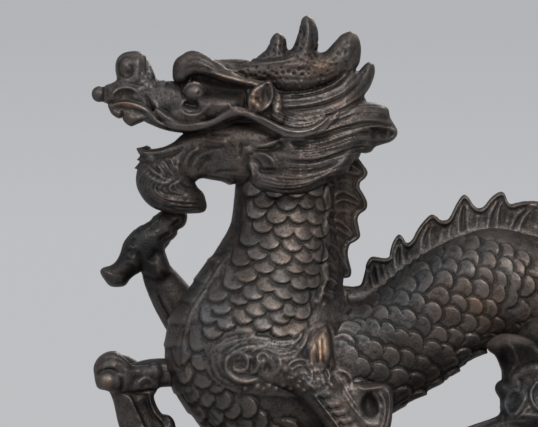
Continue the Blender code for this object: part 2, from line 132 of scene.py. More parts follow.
def trunk_frames(n):
    """(centre, dorsal unit, dorsal half-height, side unit, half-width) at n
    stations from the nape to the tail's tip."""
    s = catmull(trunk_stations(), n)
    d, v, w = s[:, 0:3], s[:, 3:6], s[:, 6]
    c = (d + v) / 2
    up = d - v
    a = np.linalg.norm(up, axis=1) / 2
    up = up / (2 * a)[:, None]
    t = np.gradient(c, axis=0)
    t /= np.linalg.norm(t, axis=1)[:, None]
    side = np.cross(up, t)
    side /= np.linalg.norm(side, axis=1)[:, None]
    return c, up, a, side, w


# Dorsal fin root size
FIN_ROOT = 1.2

# Limbs: chains of (u, v, y mm, radius in sheet units)
NEAR_ARM = [(262, 360, -14, 28), (292, 368, -19, 22), (312, 382, -22, 18), (330, 402, -24, 17),
            (346, 424, -25, 17.5), (360, 448, -25, 17), (357, 470, -24.5, 17), (336, 483, -24, 17.5),
            (296, 488, -21.5, 17.5), (248, 484, -16.5, 18), (206, 476, -11, 18.5), (172, 460, -6, 19),
            (149, 438, -3, 20), (138, 412, -1, 20.3), (133, 392, 0, 19)]
NEAR_DIGITS = [
    [(140, 380, -2.5, 14), (128, 370, -6, 13), (114, 369, -8, 12), (109, 380, -8.5, 10.5)],
    [(141, 378, 3.5, 14), (128, 365, 6, 14), (113, 364, 6, 13.5), (104, 374, 4.5, 9.5)],
    [(136, 378, 0.5, 14), (154, 373, 1, 14), (176, 372.5, 1.5, 13.8)],
    [(145, 396, 5, 14), (150, 404, 10, 12), (144, 416, 13, 11), (132, 420, 14, 8)],
    [(152, 432, -3, 13), (164, 425, -4, 10.5)],
]
FAR_ARM = [(282, 352, 16, 27), (262, 380, 21.5, 24), (246, 410, 24.5, 21),
           (234, 422, 24, 21), (222, 402, 21, 22), (207, 362, 17.5, 23), (192, 331, 15, 22.5),
           (177, 307, 12.5, 21.3), (166, 287, 11, 18.3), (157.5, 271, 9.5, 15.3), (152, 254, 8.5, 14)]
FAR_DIGITS = [
    [(152, 238, 7.5, 18), (141, 246, 7.2, 18), (131, 258, 7, 16.5), (118, 274, 6.5, 12.3), (108, 275, 6.5, 8)],
    [(150, 240, 7.5, 16.5), (160, 231, 6.5, 14), (169, 221, 5.5, 13), (175, 216.5, 5, 11.3)],
    [(156, 238, 9, 13), (164, 236, 8.5, 10), (169, 233.5, 8, 8)],
    [(150, 240, 11, 14), (158, 230, 15.5, 12), (160, 215, 17.5, 10.5), (152, 206, 17.5, 7.5)],
]
NEAR_HIND = [(556, 344, -9, 44), (545, 380, -17, 38.5), (530, 409, -21.5, 29.5), (506, 433, -24, 21.5),
             (474, 443, -25, 18.5), (452, 457, -25, 16.5), (462, 474, -25, 14),
             (490, 486, -24.5, 12.5), (514, 498, -24, 12.5), (508, 512, -24, 12),
             (488, 514, -24, 13.5)]
NEAR_HIND_DIGITS = [
    [(492, 514, -24, 12.5), (470, 508, -27.5, 9.5), (452, 513, -29.5, 9), (440, 524, -30, 6)],
    [(492, 514, -24, 12.5), (466, 507, -24.5, 10), (446, 511, -24.8, 9.5), (433, 523, -25, 6)],
    [(492, 514, -24, 12.5), (470, 508, -21.5, 9.5), (453, 513, -19.8, 9), (441, 524, -19.5, 6)],
    [(508, 512, -24, 11), (526, 512, -24.5, 9), (538, 523, -25, 5.5)],
]
FAR_HIND = [(592, 372, 14, 36), (600, 404, 21, 30), (588, 434, 25, 23),
            (566, 456, 27, 19), (556, 470, 27.5, 15.5), (572, 484, 27.5, 13),
            (600, 494, 27, 12.5), (616, 504, 26.5, 12.5), (606, 514, 26.5, 12),
            (590, 514, 26.5, 13.5)]
FAR_HIND_DIGITS = [
    [(594, 514, 26.5, 12.5), (572, 508, 30, 9.5), (554, 513, 32, 9), (542, 524, 32.5, 6)],
    [(594, 514, 26.5, 12.5), (568, 507, 27, 10), (548, 511, 27.2, 9.5), (535, 523, 27.4, 6)],
    [(594, 514, 26.5, 12.5), (572, 508, 24, 9.5), (555, 513, 22.4, 9), (543, 524, 22, 6)],
    [(608, 513, 26.5, 11), (627, 513, 27, 9), (638, 523, 27.2, 5.5)],
]

# Head: chains (u, v, y mm, radius) with a flatness (width / depth); chains
# with pair=True are made on both flanks, y negative being the near one.
HEAD = [
    # name, pair, flat, points
    ("muzzle", False, 1.55, [(148, 101, 0, 16), (165, 103, 0, 20), (190, 106, 0, 24), (215, 108, 0, 28)]),
    ("cranium", False, 1.20, [(205, 92, 0, 30), (235, 96, 0, 34), (262, 102, 0, 34), (290, 110, 0, 32)]),
    ("crown", False, 1.45, [(212, 70, 0, 10), (235, 70, 0, 11), (262, 76, 0, 15), (300, 86, 0, 18)]),
    ("cheek", False, 1.05, [(214, 140, 0, 27), (240, 146, 0, 31), (268, 146, 0, 34)]),
    ("nose", False, 1.25, [(127, 70, 0, 12), (131, 66, 0, 14), (136, 68, 0, 14)]),
    ("nose_root", False, 1.5, [(131, 76, 0, 15), (133, 88, 0, 17), (140, 98, 0, 17)]),
    ("nose_ball", False, 1.0, [(116, 88, 0, 9), (108, 92, 0, 6.5), (100, 94.5, 0, 7.4)]),
    ("nostril_wing", True, 0.75, [(121, 97, -6.5, 9), (130, 97, -7.5, 11), (140, 101, -7, 10)]),
    ("fang_base", True, 0.5, [(113, 106, -4.5, 5.5), (122, 110, -6, 7), (138, 112, -6.5, 8)]),
    ("fang", True, 0.45, [(133, 112, -6.2, 8), (131.5, 121, -6.3, 4.2)]),
    ("brow", True, 0.8, [(178, 72, -6.5, 8), (187, 66, -7.5, 13), (200, 66, -9, 13.5), (216, 71, -10.5, 11),
                         (234, 79, -12, 8), (250, 86, -13, 5.5), (262, 92, -14, 4)]),
    ("brow_lip", True, 1.0, [(180, 79, -8.5, 3.6), (198, 78.5, -11.5, 3.8), (217, 79, -13.2, 3.6),
                             (236, 85, -14.4, 3.6), (252, 90, -14.6, 3.6), (264, 95, -14.8, 3.2)]),
    ("eye", True, 1.0, [(195.4, 97, -9.6, 11), (196.4, 97, -9.6, 11)]),
    ("eye_lid", True, 1.0, [(184, 104, -7.8, 3.4), (190, 110.5, -8.8, 3.6), (200, 111.5, -9.4, 3.6), (208, 105, -9.4, 3.2)]),
    ("lip", True, 1.0, [(147, 110, -8, 3.6), (156, 119.5, -9.4, 3.8), (168, 125.5, -10.8, 3.8), (185, 129.5, -12, 3.8),
                        (202, 128.5, -13, 3.6), (217, 123.5, -14, 3.6), (231, 117.8, -15, 3.6), (243, 116.5, -15.6, 3.8),
                        (256, 120, -16.2, 4.0), (272, 128, -17, 4.2), (290, 135, -18, 4.2), (306, 136, -18.4, 3.8),
                        (318, 131.5, -18.2, 3.2), (330, 121, -17.6, 2.6)]),
    ("upper_jaw", False, 1.55, [(152, 114, 0, 11), (170, 117, 0, 15), (195, 118, 0, 17), (225, 116, 0, 20)]),
    ("jaw", False, 1.7, [(252, 160, 0, 22), (222, 160, 0, 17), (200, 159, 0, 14.5), (178, 158, 0, 12.5), (160, 160, 0, 11.5)]),
    ("jaw_tip", False, 1.9, [(186, 146, 0, 8), (174, 151, 0, 7), (160, 155, 0, 7), (147, 154, 0, 5), (140, 151.5, 0, 2.8)]),
    ("tongue", False, 1.2, [(200, 140, 0, 10), (190, 143, 0, 8), (180, 147, 0, 5.5)]),
    ("chin", False, 1.5, [(182, 170, 0, 13), (166, 170, 0, 13), (152, 170, 0, 12)]),
    ("beard", False, 1.6, [(186, 174, 0, 12), (164, 177, 0, 16), (153, 184, 0, 17), (158, 194, 0, 17), (174, 199, 0, 14.5),
                           (189, 202, 0, 11.5), (199, 204, 0, 8.5)]),
    ("beard_tip", False, 1.0, [(190, 190, 0, 9), (199, 194, 0, 7), (204, 206, 0, 5)]),
    ("antler", True, 0.85, [(222, 74, -5.5, 8), (250, 74, -7.2, 12), (276, 77, -8.6, 16), (300, 79, -9.2, 17),
                            (322, 73, -9.4, 15), (338, 61, -9.4, 13), (348, 48, -9.4, 12), (351, 42.5, -9.4, 10.5)]),
    ("tine_front", True, 0.8, [(271, 72, -8.2, 15), (274.5, 58, -8.2, 12.5), (277, 48, -8.2, 10), (278, 42, -8.2, 8.2)]),
    ("tine_mid", True, 0.8, [(302, 74, -8.8, 15), (304.5, 56, -8.8, 13.2), (306, 40, -8.8, 11.6), (306.4, 28.5, -8.8, 10.8)]),
    ("ear", True, 0.62, [(250, 108, -14.6, 9), (260, 101, -16.6, 12), (266, 95, -17.6, 11), (270, 86, -18, 5)]),
    ("mane_1", True, 0.75, [(276, 104, -12, 15), (306, 100, -14, 16), (336, 90, -12.5, 14), (356, 78, -9.5, 10), (370, 68, -7, 5)]),
    ("mane_2", True, 0.75, [(284, 120, -14.5, 15), (318, 116, -15.5, 15), (346, 102, -13, 13), (364, 88, -9.5, 9), (371, 78, -8, 6)]),
    ("mane_3", True, 0.75, [(300, 134, -14.5, 14), (332, 130, -15.5, 15), (356, 117, -13, 13), (376, 112, -10.5, 9), (386, 116, -9.5, 6)]),
    ("mane_4", True, 0.75, [(286, 150, -14.5, 15), (318, 150, -16, 15), (344, 140, -14.5, 14), (366, 131, -12, 11), (384, 130, -10.5, 8.5), (391, 132, -10, 7)]),
    ("mane_5", True, 0.75, [(270, 160, -12.5, 16), (300, 164, -15.5, 15), (328, 160, -15, 12), (350, 150, -12.5, 9), (364, 147, -11, 6)]),
    ("mane_6", True, 0.75, [(256, 170, -11, 14), (280, 183, -14, 12), (304, 186, -15.2, 11), (326, 176, -15, 9), (345, 176, -13, 7)]),
    ("mane_back", False, 1.4, [(296, 98, 0, 28), (320, 108, 0, 30), (336, 124, 0, 28), (340, 148, 0, 24)]),
]

# Dorsal fin tips as they stand on the sheet, head to loins
FIN_TIPS = [(367.5, 172.5), (367, 206), (360, 238), (350, 268), (370, 259), (399, 236.5),
            (433, 216), (466, 196), (504, 192.5), (540, 202)]
FIN_BREAK = 3          # the fin stops after this tooth, at the crook of the neck

# Rocky wave that carries the chest: chains (u, v, y mm, radius)
CREST = [(298, 448, 0, 26), (294, 478, 0, 25), (288, 508, 0, 32), (284, 534, 0, 46)]
ELBOW_CURL = [(352, 390, -22, 10), (368, 392, -24.5, 13), (376, 408, -25.5, 13), (374, 430, -25.5, 13),
              (366, 448, -25, 13)]
CREST_SIDE = [
    [(262, 520, -6, 16), (246, 512, -7, 13), (238, 520, -7, 10)],
    [(318, 522, 7, 18), (338, 516, 8, 13), (346, 524, 8, 9)],
    [(292, 508, -9, 18), (296, 520, -13, 15), (304, 528, -16, 13)],
    [(284, 508, 10, 18), (276, 520, 13, 15), (266, 528, 16, 13)],
]

# Plinth: half length, half width, corner radius (mm)
PLINTH = (74.0, 37.0, 22.0)
# Moulding: (height mm, inset mm)
MOULDING = [(0, 0.4), (0.5, 0.0), (2.0, 0.0), (2.6, 0.7), (3.1, 1.7), (3.9, 2.6), (5.0, 3.1),
            (6.1, 3.0), (6.9, 2.4), (7.5, 1.5), (8.4, 1.2)]

# Flame at the tail's end: chains (u, v, y mm, radius)
TAIL_TUFT = [
    [(742, 140, 0, 9), (756, 112, 0.5, 9), (766, 88, 1, 6.5), (764, 66, 1, 3)],
    [(742, 146, -1, 9), (768, 126, -2, 9), (784, 106, -2.5, 6), (786, 86, -2.5, 3)],
    [(744, 152, 1, 8), (774, 146, 2, 8), (794, 130, 2.5, 5.5), (799, 112, 2.5, 3)],
    [(738, 142, 1, 8), (738, 116, 2, 8), (743, 92, 2.5, 5.5), (738, 74, 2.5, 3)],
]

DRAGON_TRIANGLES = 7600


def fin_teeth(dorsal, up, a):
    """Stations and heights (mm) of the fin's teeth, head to tail tip."""
    place, tall = [], []
    start = 0
    for u, v in FIN_TIPS:
        gap = P(u, v) - dorsal[start:start + 200]
        along = (gap * up[start:start + 200]).sum(axis=1)
        off = np.linalg.norm((gap - along[:, None] * up[start:start + 200])[:, [0, 2]], axis=1)
        off[along < 1.0] = 1e9
        k = int(np.argmin(off))
        place.append(start + k)
        tall.append(float(min(max(along[k], 4.0), 11.5)))
        start += k + 8
    run = np.concatenate([[0], np.cumsum(np.linalg.norm(np.diff(dorsal, axis=0), axis=1))])
    pitch = 10.2
    at = run[place[-1]] + pitch
    while at < run[-1] - 6:
        k = int(np.searchsorted(run, at))
        place.append(k)
        tall.append(2.0 + 7.5 * min(1.0, a[k] / 15.0))
        pitch = 5.5 + 4.7 * min(1.0, a[k] / 15.0)
        at += pitch
    return place, tall


def fin_height(n, place, tall):
    """Saw-tooth height at every station: a swelling front edge, a cut back."""
    height = np.zeros(n)
    for i, (k, h) in enumerate(zip(place, tall)):
        before = place[i - 1] if i else k - 22
        after = place[i + 1] if i + 1 < len(place) else k + 18
        notch = k + (after - k) * 0.30
        last = before + (k - before) * 0.30
        rise = 0.0 if i == FIN_BREAK + 1 else 0.52
        fall = 0.0 if i == FIN_BREAK else 0.52
        for j in range(max(0, int(last)), min(n, int(notch) + 1)):
            if j <= k:
                t = (j - last) / max(1e-6, k - last)
                height[j] = h * (rise + (1 - rise) * math.sin(0.5 * math.pi * max(0, t)) ** 0.8)
            else:
                t = (j - k) / max(1e-6, notch - k)
                height[j] = h * (fall + (1 - fall) * max(0.0, 1 - t) ** 1.6)
    return height


# ---------------------------------------------------------------- numerics
def smooth(x, a=0.0, b=1.0):
    t = np.clip((x - a) / (b - a), 0.0, 1.0)
    return t * t * (3.0 - 2.0 * t)


def bump(x, width):
    return np.exp(-(x / width) ** 2)


def hashed(i, j, k=0):
    """Repeatable number in 0..1 for whole-number coordinates."""
    n = (np.asarray(i, np.int64) * 374761393 + np.asarray(j, np.int64) * 668265263
         + np.asarray(k, np.int64) * 2147483647 + 974711)
    n = (n ^ (n >> 13)) * 1274126177
    n = n ^ (n >> 16)
    return (n & 0xFFFFFF).astype(np.float64) / float(0xFFFFFF)


def noise(p, cell, seed=0):
    """Smooth value noise in -1..1 at points p (mm), features of size cell."""
    q = np.asarray(p, float) / cell + 1000.0 + 17.3 * seed
    f = np.floor(q)
    t = q - f
    t = t * t * (3 - 2 * t)
    f = f.astype(np.int64)
    out = 0.0
    for dx in (0, 1):
        for dy in (0, 1):
            for dz in (0, 1):
                w = ((t[..., 0] if dx else 1 - t[..., 0])
                     * (t[..., 1] if dy else 1 - t[..., 1])
                     * (t[..., 2] if dz else 1 - t[..., 2]))
                out = out + w * hashed(f[..., 0] + dx, f[..., 1] + dy,
                                       (f[..., 2] + dz) * 31 + seed)
    return out * 2.0 - 1.0


def sheet_of(p):
    """Millimetre positions back to sheet (u, v)."""
    u = U_MID + (p[..., 0] - p[..., 1] * SKEW) / SHEET
    v = V_BASE - p[..., 2] / SHEET
    return u, v


def stroke(u, v, points, n=40):
    """Distance from (u, v) to a smooth stroke, and the way along it 0..1."""
    pts = catmull(points, n)
    best = np.full(u.shape, 1e9)
    way = np.zeros(u.shape)
    for i in range(len(pts) - 1):
        ax, ay = pts[i][:2]
        bx, by = pts[i + 1][:2] - pts[i][:2]
        t = np.clip(((u - ax) * bx + (v - ay) * by) / (bx * bx + by * by + 1e-9), 0, 1)
        d = np.hypot(u - ax - t * bx, v - ay - t * by)
        m = d < best
        best[m] = d[m]
        way[m] = ((i + t) / (len(pts) - 1))[m]
    return best, way


# ---------------------------------------------------------------- meshes
def edges_of(faces):
    k = faces.shape[1]
    e = np.concatenate([faces[:, [i, (i + 1) % k]] for i in range(k)])
    e = e[e[:, 0] != e[:, 1]]
    e.sort(axis=1)
    return np.unique(e, axis=0)


def vertex_normals(v, f):
    if f.shape[1] == 4:
        n = np.cross(v[f[:, 2]] - v[f[:, 0]], v[f[:, 3]] - v[f[:, 1]])
    else:
        n = np.cross(v[f[:, 1]] - v[f[:, 0]], v[f[:, 2]] - v[f[:, 0]])
    out = np.zeros_like(v)
    for i in range(f.shape[1]):
        for c in range(3):
            out[:, c] += np.bincount(f[:, i], weights=n[:, c], minlength=len(v))
    return out / (np.linalg.norm(out, axis=1)[:, None] + 1e-12)


def relief(v, f, normals, rounds=14):
    """Height of each vertex over the smoothed surface, in mm: + is proud."""
    e = edges_of(f)
    count = np.bincount(e.ravel(), minlength=len(v)).astype(float) + 1e-9
    s = v.copy()
    for _ in range(rounds):
        new = np.empty_like(s)
        for c in range(3):
            new[:, c] = (np.bincount(e[:, 0], weights=s[e[:, 1], c], minlength=len(v))
                         + np.bincount(e[:, 1], weights=s[e[:, 0], c], minlength=len(v)))
        s = 0.35 * s + 0.65 * new / count[:, None]
    return ((v - s) * normals).sum(axis=1)


def triangles(f):
    if f.shape[1] == 3:
        return f
    return np.vstack([f[:, [0, 1, 2]], f[:, [0, 2, 3]]])


def decimated(v, f, tris, values):
    """The mesh brought down to about this many triangles, and its values."""
    have = len(f) * (f.shape[1] - 2)
    if have <= tris:
        return v, f, values
    k = f.shape[1]
    mesh = bpy.data.meshes.new("tmp")
    mesh.vertices.add(len(v))
    mesh.vertices.foreach_set("co", v.astype(np.float32).ravel())
    mesh.loops.add(len(f) * k)
    mesh.loops.foreach_set("vertex_index", f.astype(np.int32).ravel())
    mesh.polygons.add(len(f))
    mesh.polygons.foreach_set("loop_start", np.arange(0, len(f) * k, k, dtype=np.int32))
    mesh.update(calc_edges=True)
    for key, val in values.items():
        layer = mesh.attributes.new(key, "FLOAT", "POINT")
        layer.data.foreach_set("value", np.asarray(val).astype(np.float32))
    obj = bpy.data.objects.new("tmp", mesh)
    bpy.context.scene.collection.objects.link(obj)
    mod = obj.modifiers.new("d", "DECIMATE")
    mod.ratio = tris / have
    graph = bpy.context.evaluated_depsgraph_get()
    new = obj.evaluated_get(graph).to_mesh()
    new.calc_loop_triangles()
    vv = np.empty(len(new.vertices) * 3)
    new.vertices.foreach_get("co", vv)
    ff = np.empty(len(new.loop_triangles) * 3, np.int32)
    new.loop_triangles.foreach_get("vertices", ff)
    out = {}
    for key in values:
        got = np.zeros(len(new.vertices), np.float32)
        new.attributes[key].data.foreach_get("value", got)
        out[key] = got
    bpy.data.objects.remove(obj, do_unlink=True)
    bpy.data.meshes.remove(mesh)
    return vv.reshape(-1, 3), ff.reshape(-1, 3), out


def emit(name, v, f, material, node, attrs=None, piece_tris=185000, rounds=14):
    """Writes a skin (mm) as one or more objects that share their normals."""
    n = vertex_normals(v, f)
    values = dict(attrs or {})
    if "relief" not in values:
        values["relief"] = relief(v, f, n, rounds)
    tris = len(f) * (f.shape[1] - 2)
    count = max(1, math.ceil(tris / piece_tris))
    centre = v[f].mean(axis=1)[:, 0]
    order = np.argsort(centre, kind="stable")
    made = []
    for i, chosen in enumerate(np.array_split(order, count)):
        chosen = np.sort(chosen)
        used, local = np.unique(f[chosen], return_inverse=True)
        local = local.reshape(-1, f.shape[1])
        label = name if count == 1 else f"{name}_{i + 1}"
        mesh = bpy.data.meshes.new(label)
        mesh.vertices.add(len(used))
        mesh.vertices.foreach_set("co", (v[used] * MM).astype(np.float32).ravel())
        k = f.shape[1]
        mesh.loops.add(len(local) * k)
        mesh.loops.foreach_set("vertex_index", local.astype(np.int32).ravel())
        mesh.polygons.add(len(local))
        mesh.polygons.foreach_set("loop_start", np.arange(0, len(local) * k, k, dtype=np.int32))
        mesh.polygons.foreach_set("use_smooth", np.ones(len(local), bool))
        mesh.update(calc_edges=True)
        mesh.validate()
        for key, val in values.items():
            layer = mesh.attributes.new(key, "FLOAT", "POINT")
            layer.data.foreach_set("value", np.asarray(val)[used].astype(np.float32))
        if count > 1 and len(mesh.vertices) == len(used):
            mesh.normals_split_custom_set_from_vertices(n[used].tolist())
        mesh.materials.append(material)
        obj = bpy.data.objects.new(label, mesh)
        bpy.context.scene.collection.objects.link(obj)
        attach(obj, "root")
        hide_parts(node)
        made.append(obj)
        print(f"{label}: {len(local) * (k - 2)} triangles")
    return made


# ---------------------------------------------------------------- fields
class Field:
    """Signed distance on a grid, in mm, joined and cut by simple shapes."""

    def __init__(self, lo, hi, h):
        self.lo = np.array(lo, float)
        self.h = h
        self.n = np.ceil((np.array(hi) - self.lo) / h).astype(int) + 1
        self.f = np.full(self.n, 5.0, np.float32)
        self.axis = [self.lo[i] + h * np.arange(self.n[i]) for i in range(3)]

    def block(self, lo, hi):
        a = np.clip(np.floor((np.array(lo) - self.lo) / self.h).astype(int), 0, self.n)
        b = np.clip(np.ceil((np.array(hi) - self.lo) / self.h).astype(int) + 1, 0, self.n)
        if (b <= a).any():
            return None, None
        s = tuple(slice(a[i], b[i]) for i in range(3))
        x = self.axis[0][s[0]][:, None, None]
        y = self.axis[1][s[1]][None, :, None]
        z = self.axis[2][s[2]][None, None, :]
        return s, (x, y, z)

    def join(self, s, d, k):
        f = self.f[s]
        if k > 0:
            h = np.clip(0.5 + 0.5 * (f - d) / k, 0, 1)
            self.f[s] = f * (1 - h) + d * h - k * h * (1 - h)
        else:
            self.f[s] = np.minimum(f, d)

    def cut(self, s, d, k):
        f = self.f[s]
        if k > 0:
            h = np.clip(0.5 - 0.5 * (f + d) / k, 0, 1)
            self.f[s] = f * (1 - h) - d * h + k * h * (1 - h)
        else:
            self.f[s] = np.maximum(f, -d)

    def chain(self, pts, flat=1.0, k=0.8, cut=False, lift=None, near=None):
        """Round swept chain through rows (x, y, z, r) in mm."""
        pts = np.asarray(pts, float)
        r = pts[:, 3].max()
        pad = np.array([1, max(1, flat), 1]) * (r + 0.4) + max(k, 0) + 2 * self.h
        s, (x, y, z) = self.block(pts[:, :3].min(0) - pad, pts[:, :3].max(0) + pad)
        if s is None:
            return
        d = np.full(self.f[s].shape, 1e3, np.float32)
        for i in range(len(pts) - 1):
            p, q = pts[i], pts[i + 1]
            reach = max(p[3], q[3]) + 0.4 + max(k, 0) + 2 * self.h
            pad = np.array([1, max(1, flat), 1]) * reach
            lo = np.minimum(p[:3], q[:3]) - pad
            hi = np.maximum(p[:3], q[:3]) + pad
            sub, (bx, by, bz) = self.block(lo, hi)
            if sub is None:
                continue
            loc = tuple(slice(max(sub[j].start, s[j].start) - s[j].start,
                              min(sub[j].stop, s[j].stop) - s[j].start) for j in range(3))
            if any(l.stop <= l.start for l in loc):
                continue
            bx = x[loc[0], :, :]
            by = y[:, loc[1], :]
            bz = z[:, :, loc[2]]
            e = (q - p)[:3] * np.array([1, 1 / flat, 1])
            ee = e.dot(e) + 1e-9
            dx, dy, dz = bx - p[0], (by - p[1]) / flat, bz - p[2]
            t = np.clip((dx * e[0] + dy * e[1] + dz * e[2]) / ee, 0, 1)
            g = np.sqrt((dx - t * e[0]) ** 2 + (dy - t * e[1]) ** 2 + (dz - t * e[2]) ** 2)
            g = g - (p[3] + (q[3] - p[3]) * t)
            d[loc] = np.minimum(d[loc], g)
        if lift is not None:
            d = d - lift(x, y, z).astype(np.float32)
        (self.cut if cut else self.join)(s, d, k)

    def sheet_chain(self, chain, flat=1.0, k=0.8, cut=False, n=0, mirror=False, lift=None):
        """Chain given on the sheet as (u, v, y, r)."""
        pts = np.array([[*P(c[0], c[1], -c[2] if mirror else c[2]), c[3] * SHEET] for c in chain])
        length = np.linalg.norm(np.diff(pts[:, :3], axis=0), axis=1).sum()
        pts = catmull(pts, n or max(3, int(length / 1.3)))
        pts[:, 3] = np.maximum(pts[:, 3], 0.12)
        self.chain(pts, flat, k, cut, lift)

    def ball(self, centre, radii, k=0.8, cut=False, turn=0.0):
        """Ellipsoid; turn (degrees) tips it about y."""
        c = np.asarray(centre, float)
        r = np.asarray(radii, float)
        pad = r.max() + max(k, 0) + 2 * self.h + 0.4
        s, (x, y, z) = self.block(c - pad, c + pad)
        if s is None:
            return
        a = math.radians(turn)
        dx, dy, dz = x - c[0], y - c[1], z - c[2]
        ex = dx * math.cos(a) + dz * math.sin(a)
        ez = -dx * math.sin(a) + dz * math.cos(a)
        k0 = np.sqrt((ex / r[0]) ** 2 + (dy / r[1]) ** 2 + (ez / r[2]) ** 2)
        k1 = np.sqrt((ex / r[0] ** 2) ** 2 + (dy / r[1] ** 2) ** 2 + (ez / r[2] ** 2) ** 2)
        d = (k0 * (k0 - 1) / (k1 + 1e-9)).astype(np.float32)
        (self.cut if cut else self.join)(s, d, k)

    def sheet_ball(self, u, v, y, ru, rv, ry, k=0.8, cut=False, turn=0.0, mirror=False):
        c = P(u, v, -y if mirror else y)
        self.ball(c, (ru * SHEET, ry, rv * SHEET), k, cut, turn)

    def skin(self):
        """Surface-nets skin: vertices (mm) and outward quads."""
        F = self.f
        s = F < 0
        total = np.zeros(tuple(n - 1 for n in F.shape), np.int8)
        corners = [(i, j, k) for i in (0, 1) for j in (0, 1) for k in (0, 1)]
        for i, j, k in corners:
            total += s[i:F.shape[0] - 1 + i, j:F.shape[1] - 1 + j, k:F.shape[2] - 1 + k]
        cells = np.argwhere((total > 0) & (total < 8))
        index = np.full(total.shape, -1, np.int32)
        index[cells[:, 0], cells[:, 1], cells[:, 2]] = np.arange(len(cells))
        val = {c: F[cells[:, 0] + c[0], cells[:, 1] + c[1], cells[:, 2] + c[2]] for c in corners}
        acc = np.zeros((len(cells), 3))
        cnt = np.zeros(len(cells))
        for a in corners:
            for axis in range(3):
                if a[axis]:
                    continue
                b = list(a)
                b[axis] = 1
                fa, fb = val[a], val[tuple(b)]
                m = (fa < 0) != (fb < 0)
                t = fa[m] / (fa[m] - fb[m])
                pos = np.tile(np.array(a, float), (m.sum(), 1))
                pos[:, axis] += t
                acc[m] += pos
                cnt[m] += 1
        v = self.lo + self.h * (cells + acc / cnt[:, None])
        quads = []
        for axis in range(3):
            o1, o2 = [(1, 2), (2, 0), (0, 1)][axis]
            a = [slice(None)] * 3
            b = [slice(None)] * 3
            a[axis] = slice(0, F.shape[axis] - 1)
            b[axis] = slice(1, F.shape[axis])
            flip = s[tuple(a)] != s[tuple(b)]
            inside_first = s[tuple(a)]
            at = np.argwhere(flip)
            ok = ((at[:, o1] > 0) & (at[:, o2] > 0)
                  & (at[:, o1] < F.shape[o1] - 1) & (at[:, o2] < F.shape[o2] - 1))
            at = at[ok]
            first = inside_first[at[:, 0], at[:, 1], at[:, 2]]

            def cell(d1, d2):
                q = at.copy()
                q[:, o1] -= d1
                q[:, o2] -= d2
                return index[q[:, 0], q[:, 1], q[:, 2]]

            quad = np.stack([cell(1, 1), cell(0, 1), cell(0, 0), cell(1, 0)], axis=1)
            quad[~first] = quad[~first][:, ::-1]
            quads.append(quad)
        f = np.concatenate(quads)
        return v, f[(f >= 0).all(axis=1)]


def biggest(v, f):
    """The skin without loose crumbs and inner shells."""
    e = edges_of(f)
    label = np.arange(len(v))
    while True:
        m = np.minimum(label[e[:, 0]], label[e[:, 1]])
        new = label.copy()
        np.minimum.at(new, e[:, 0], m)
        np.minimum.at(new, e[:, 1], m)
        new = new[new]
        new = new[new]
        if (new == label).all():
            break
        label = new
    count = np.bincount(label[f[:, 0]], minlength=len(v))
    keep = label[f[:, 0]] == count.argmax()
    used, local = np.unique(f[keep], return_inverse=True)
    return v[used], local.reshape(-1, f.shape[1])


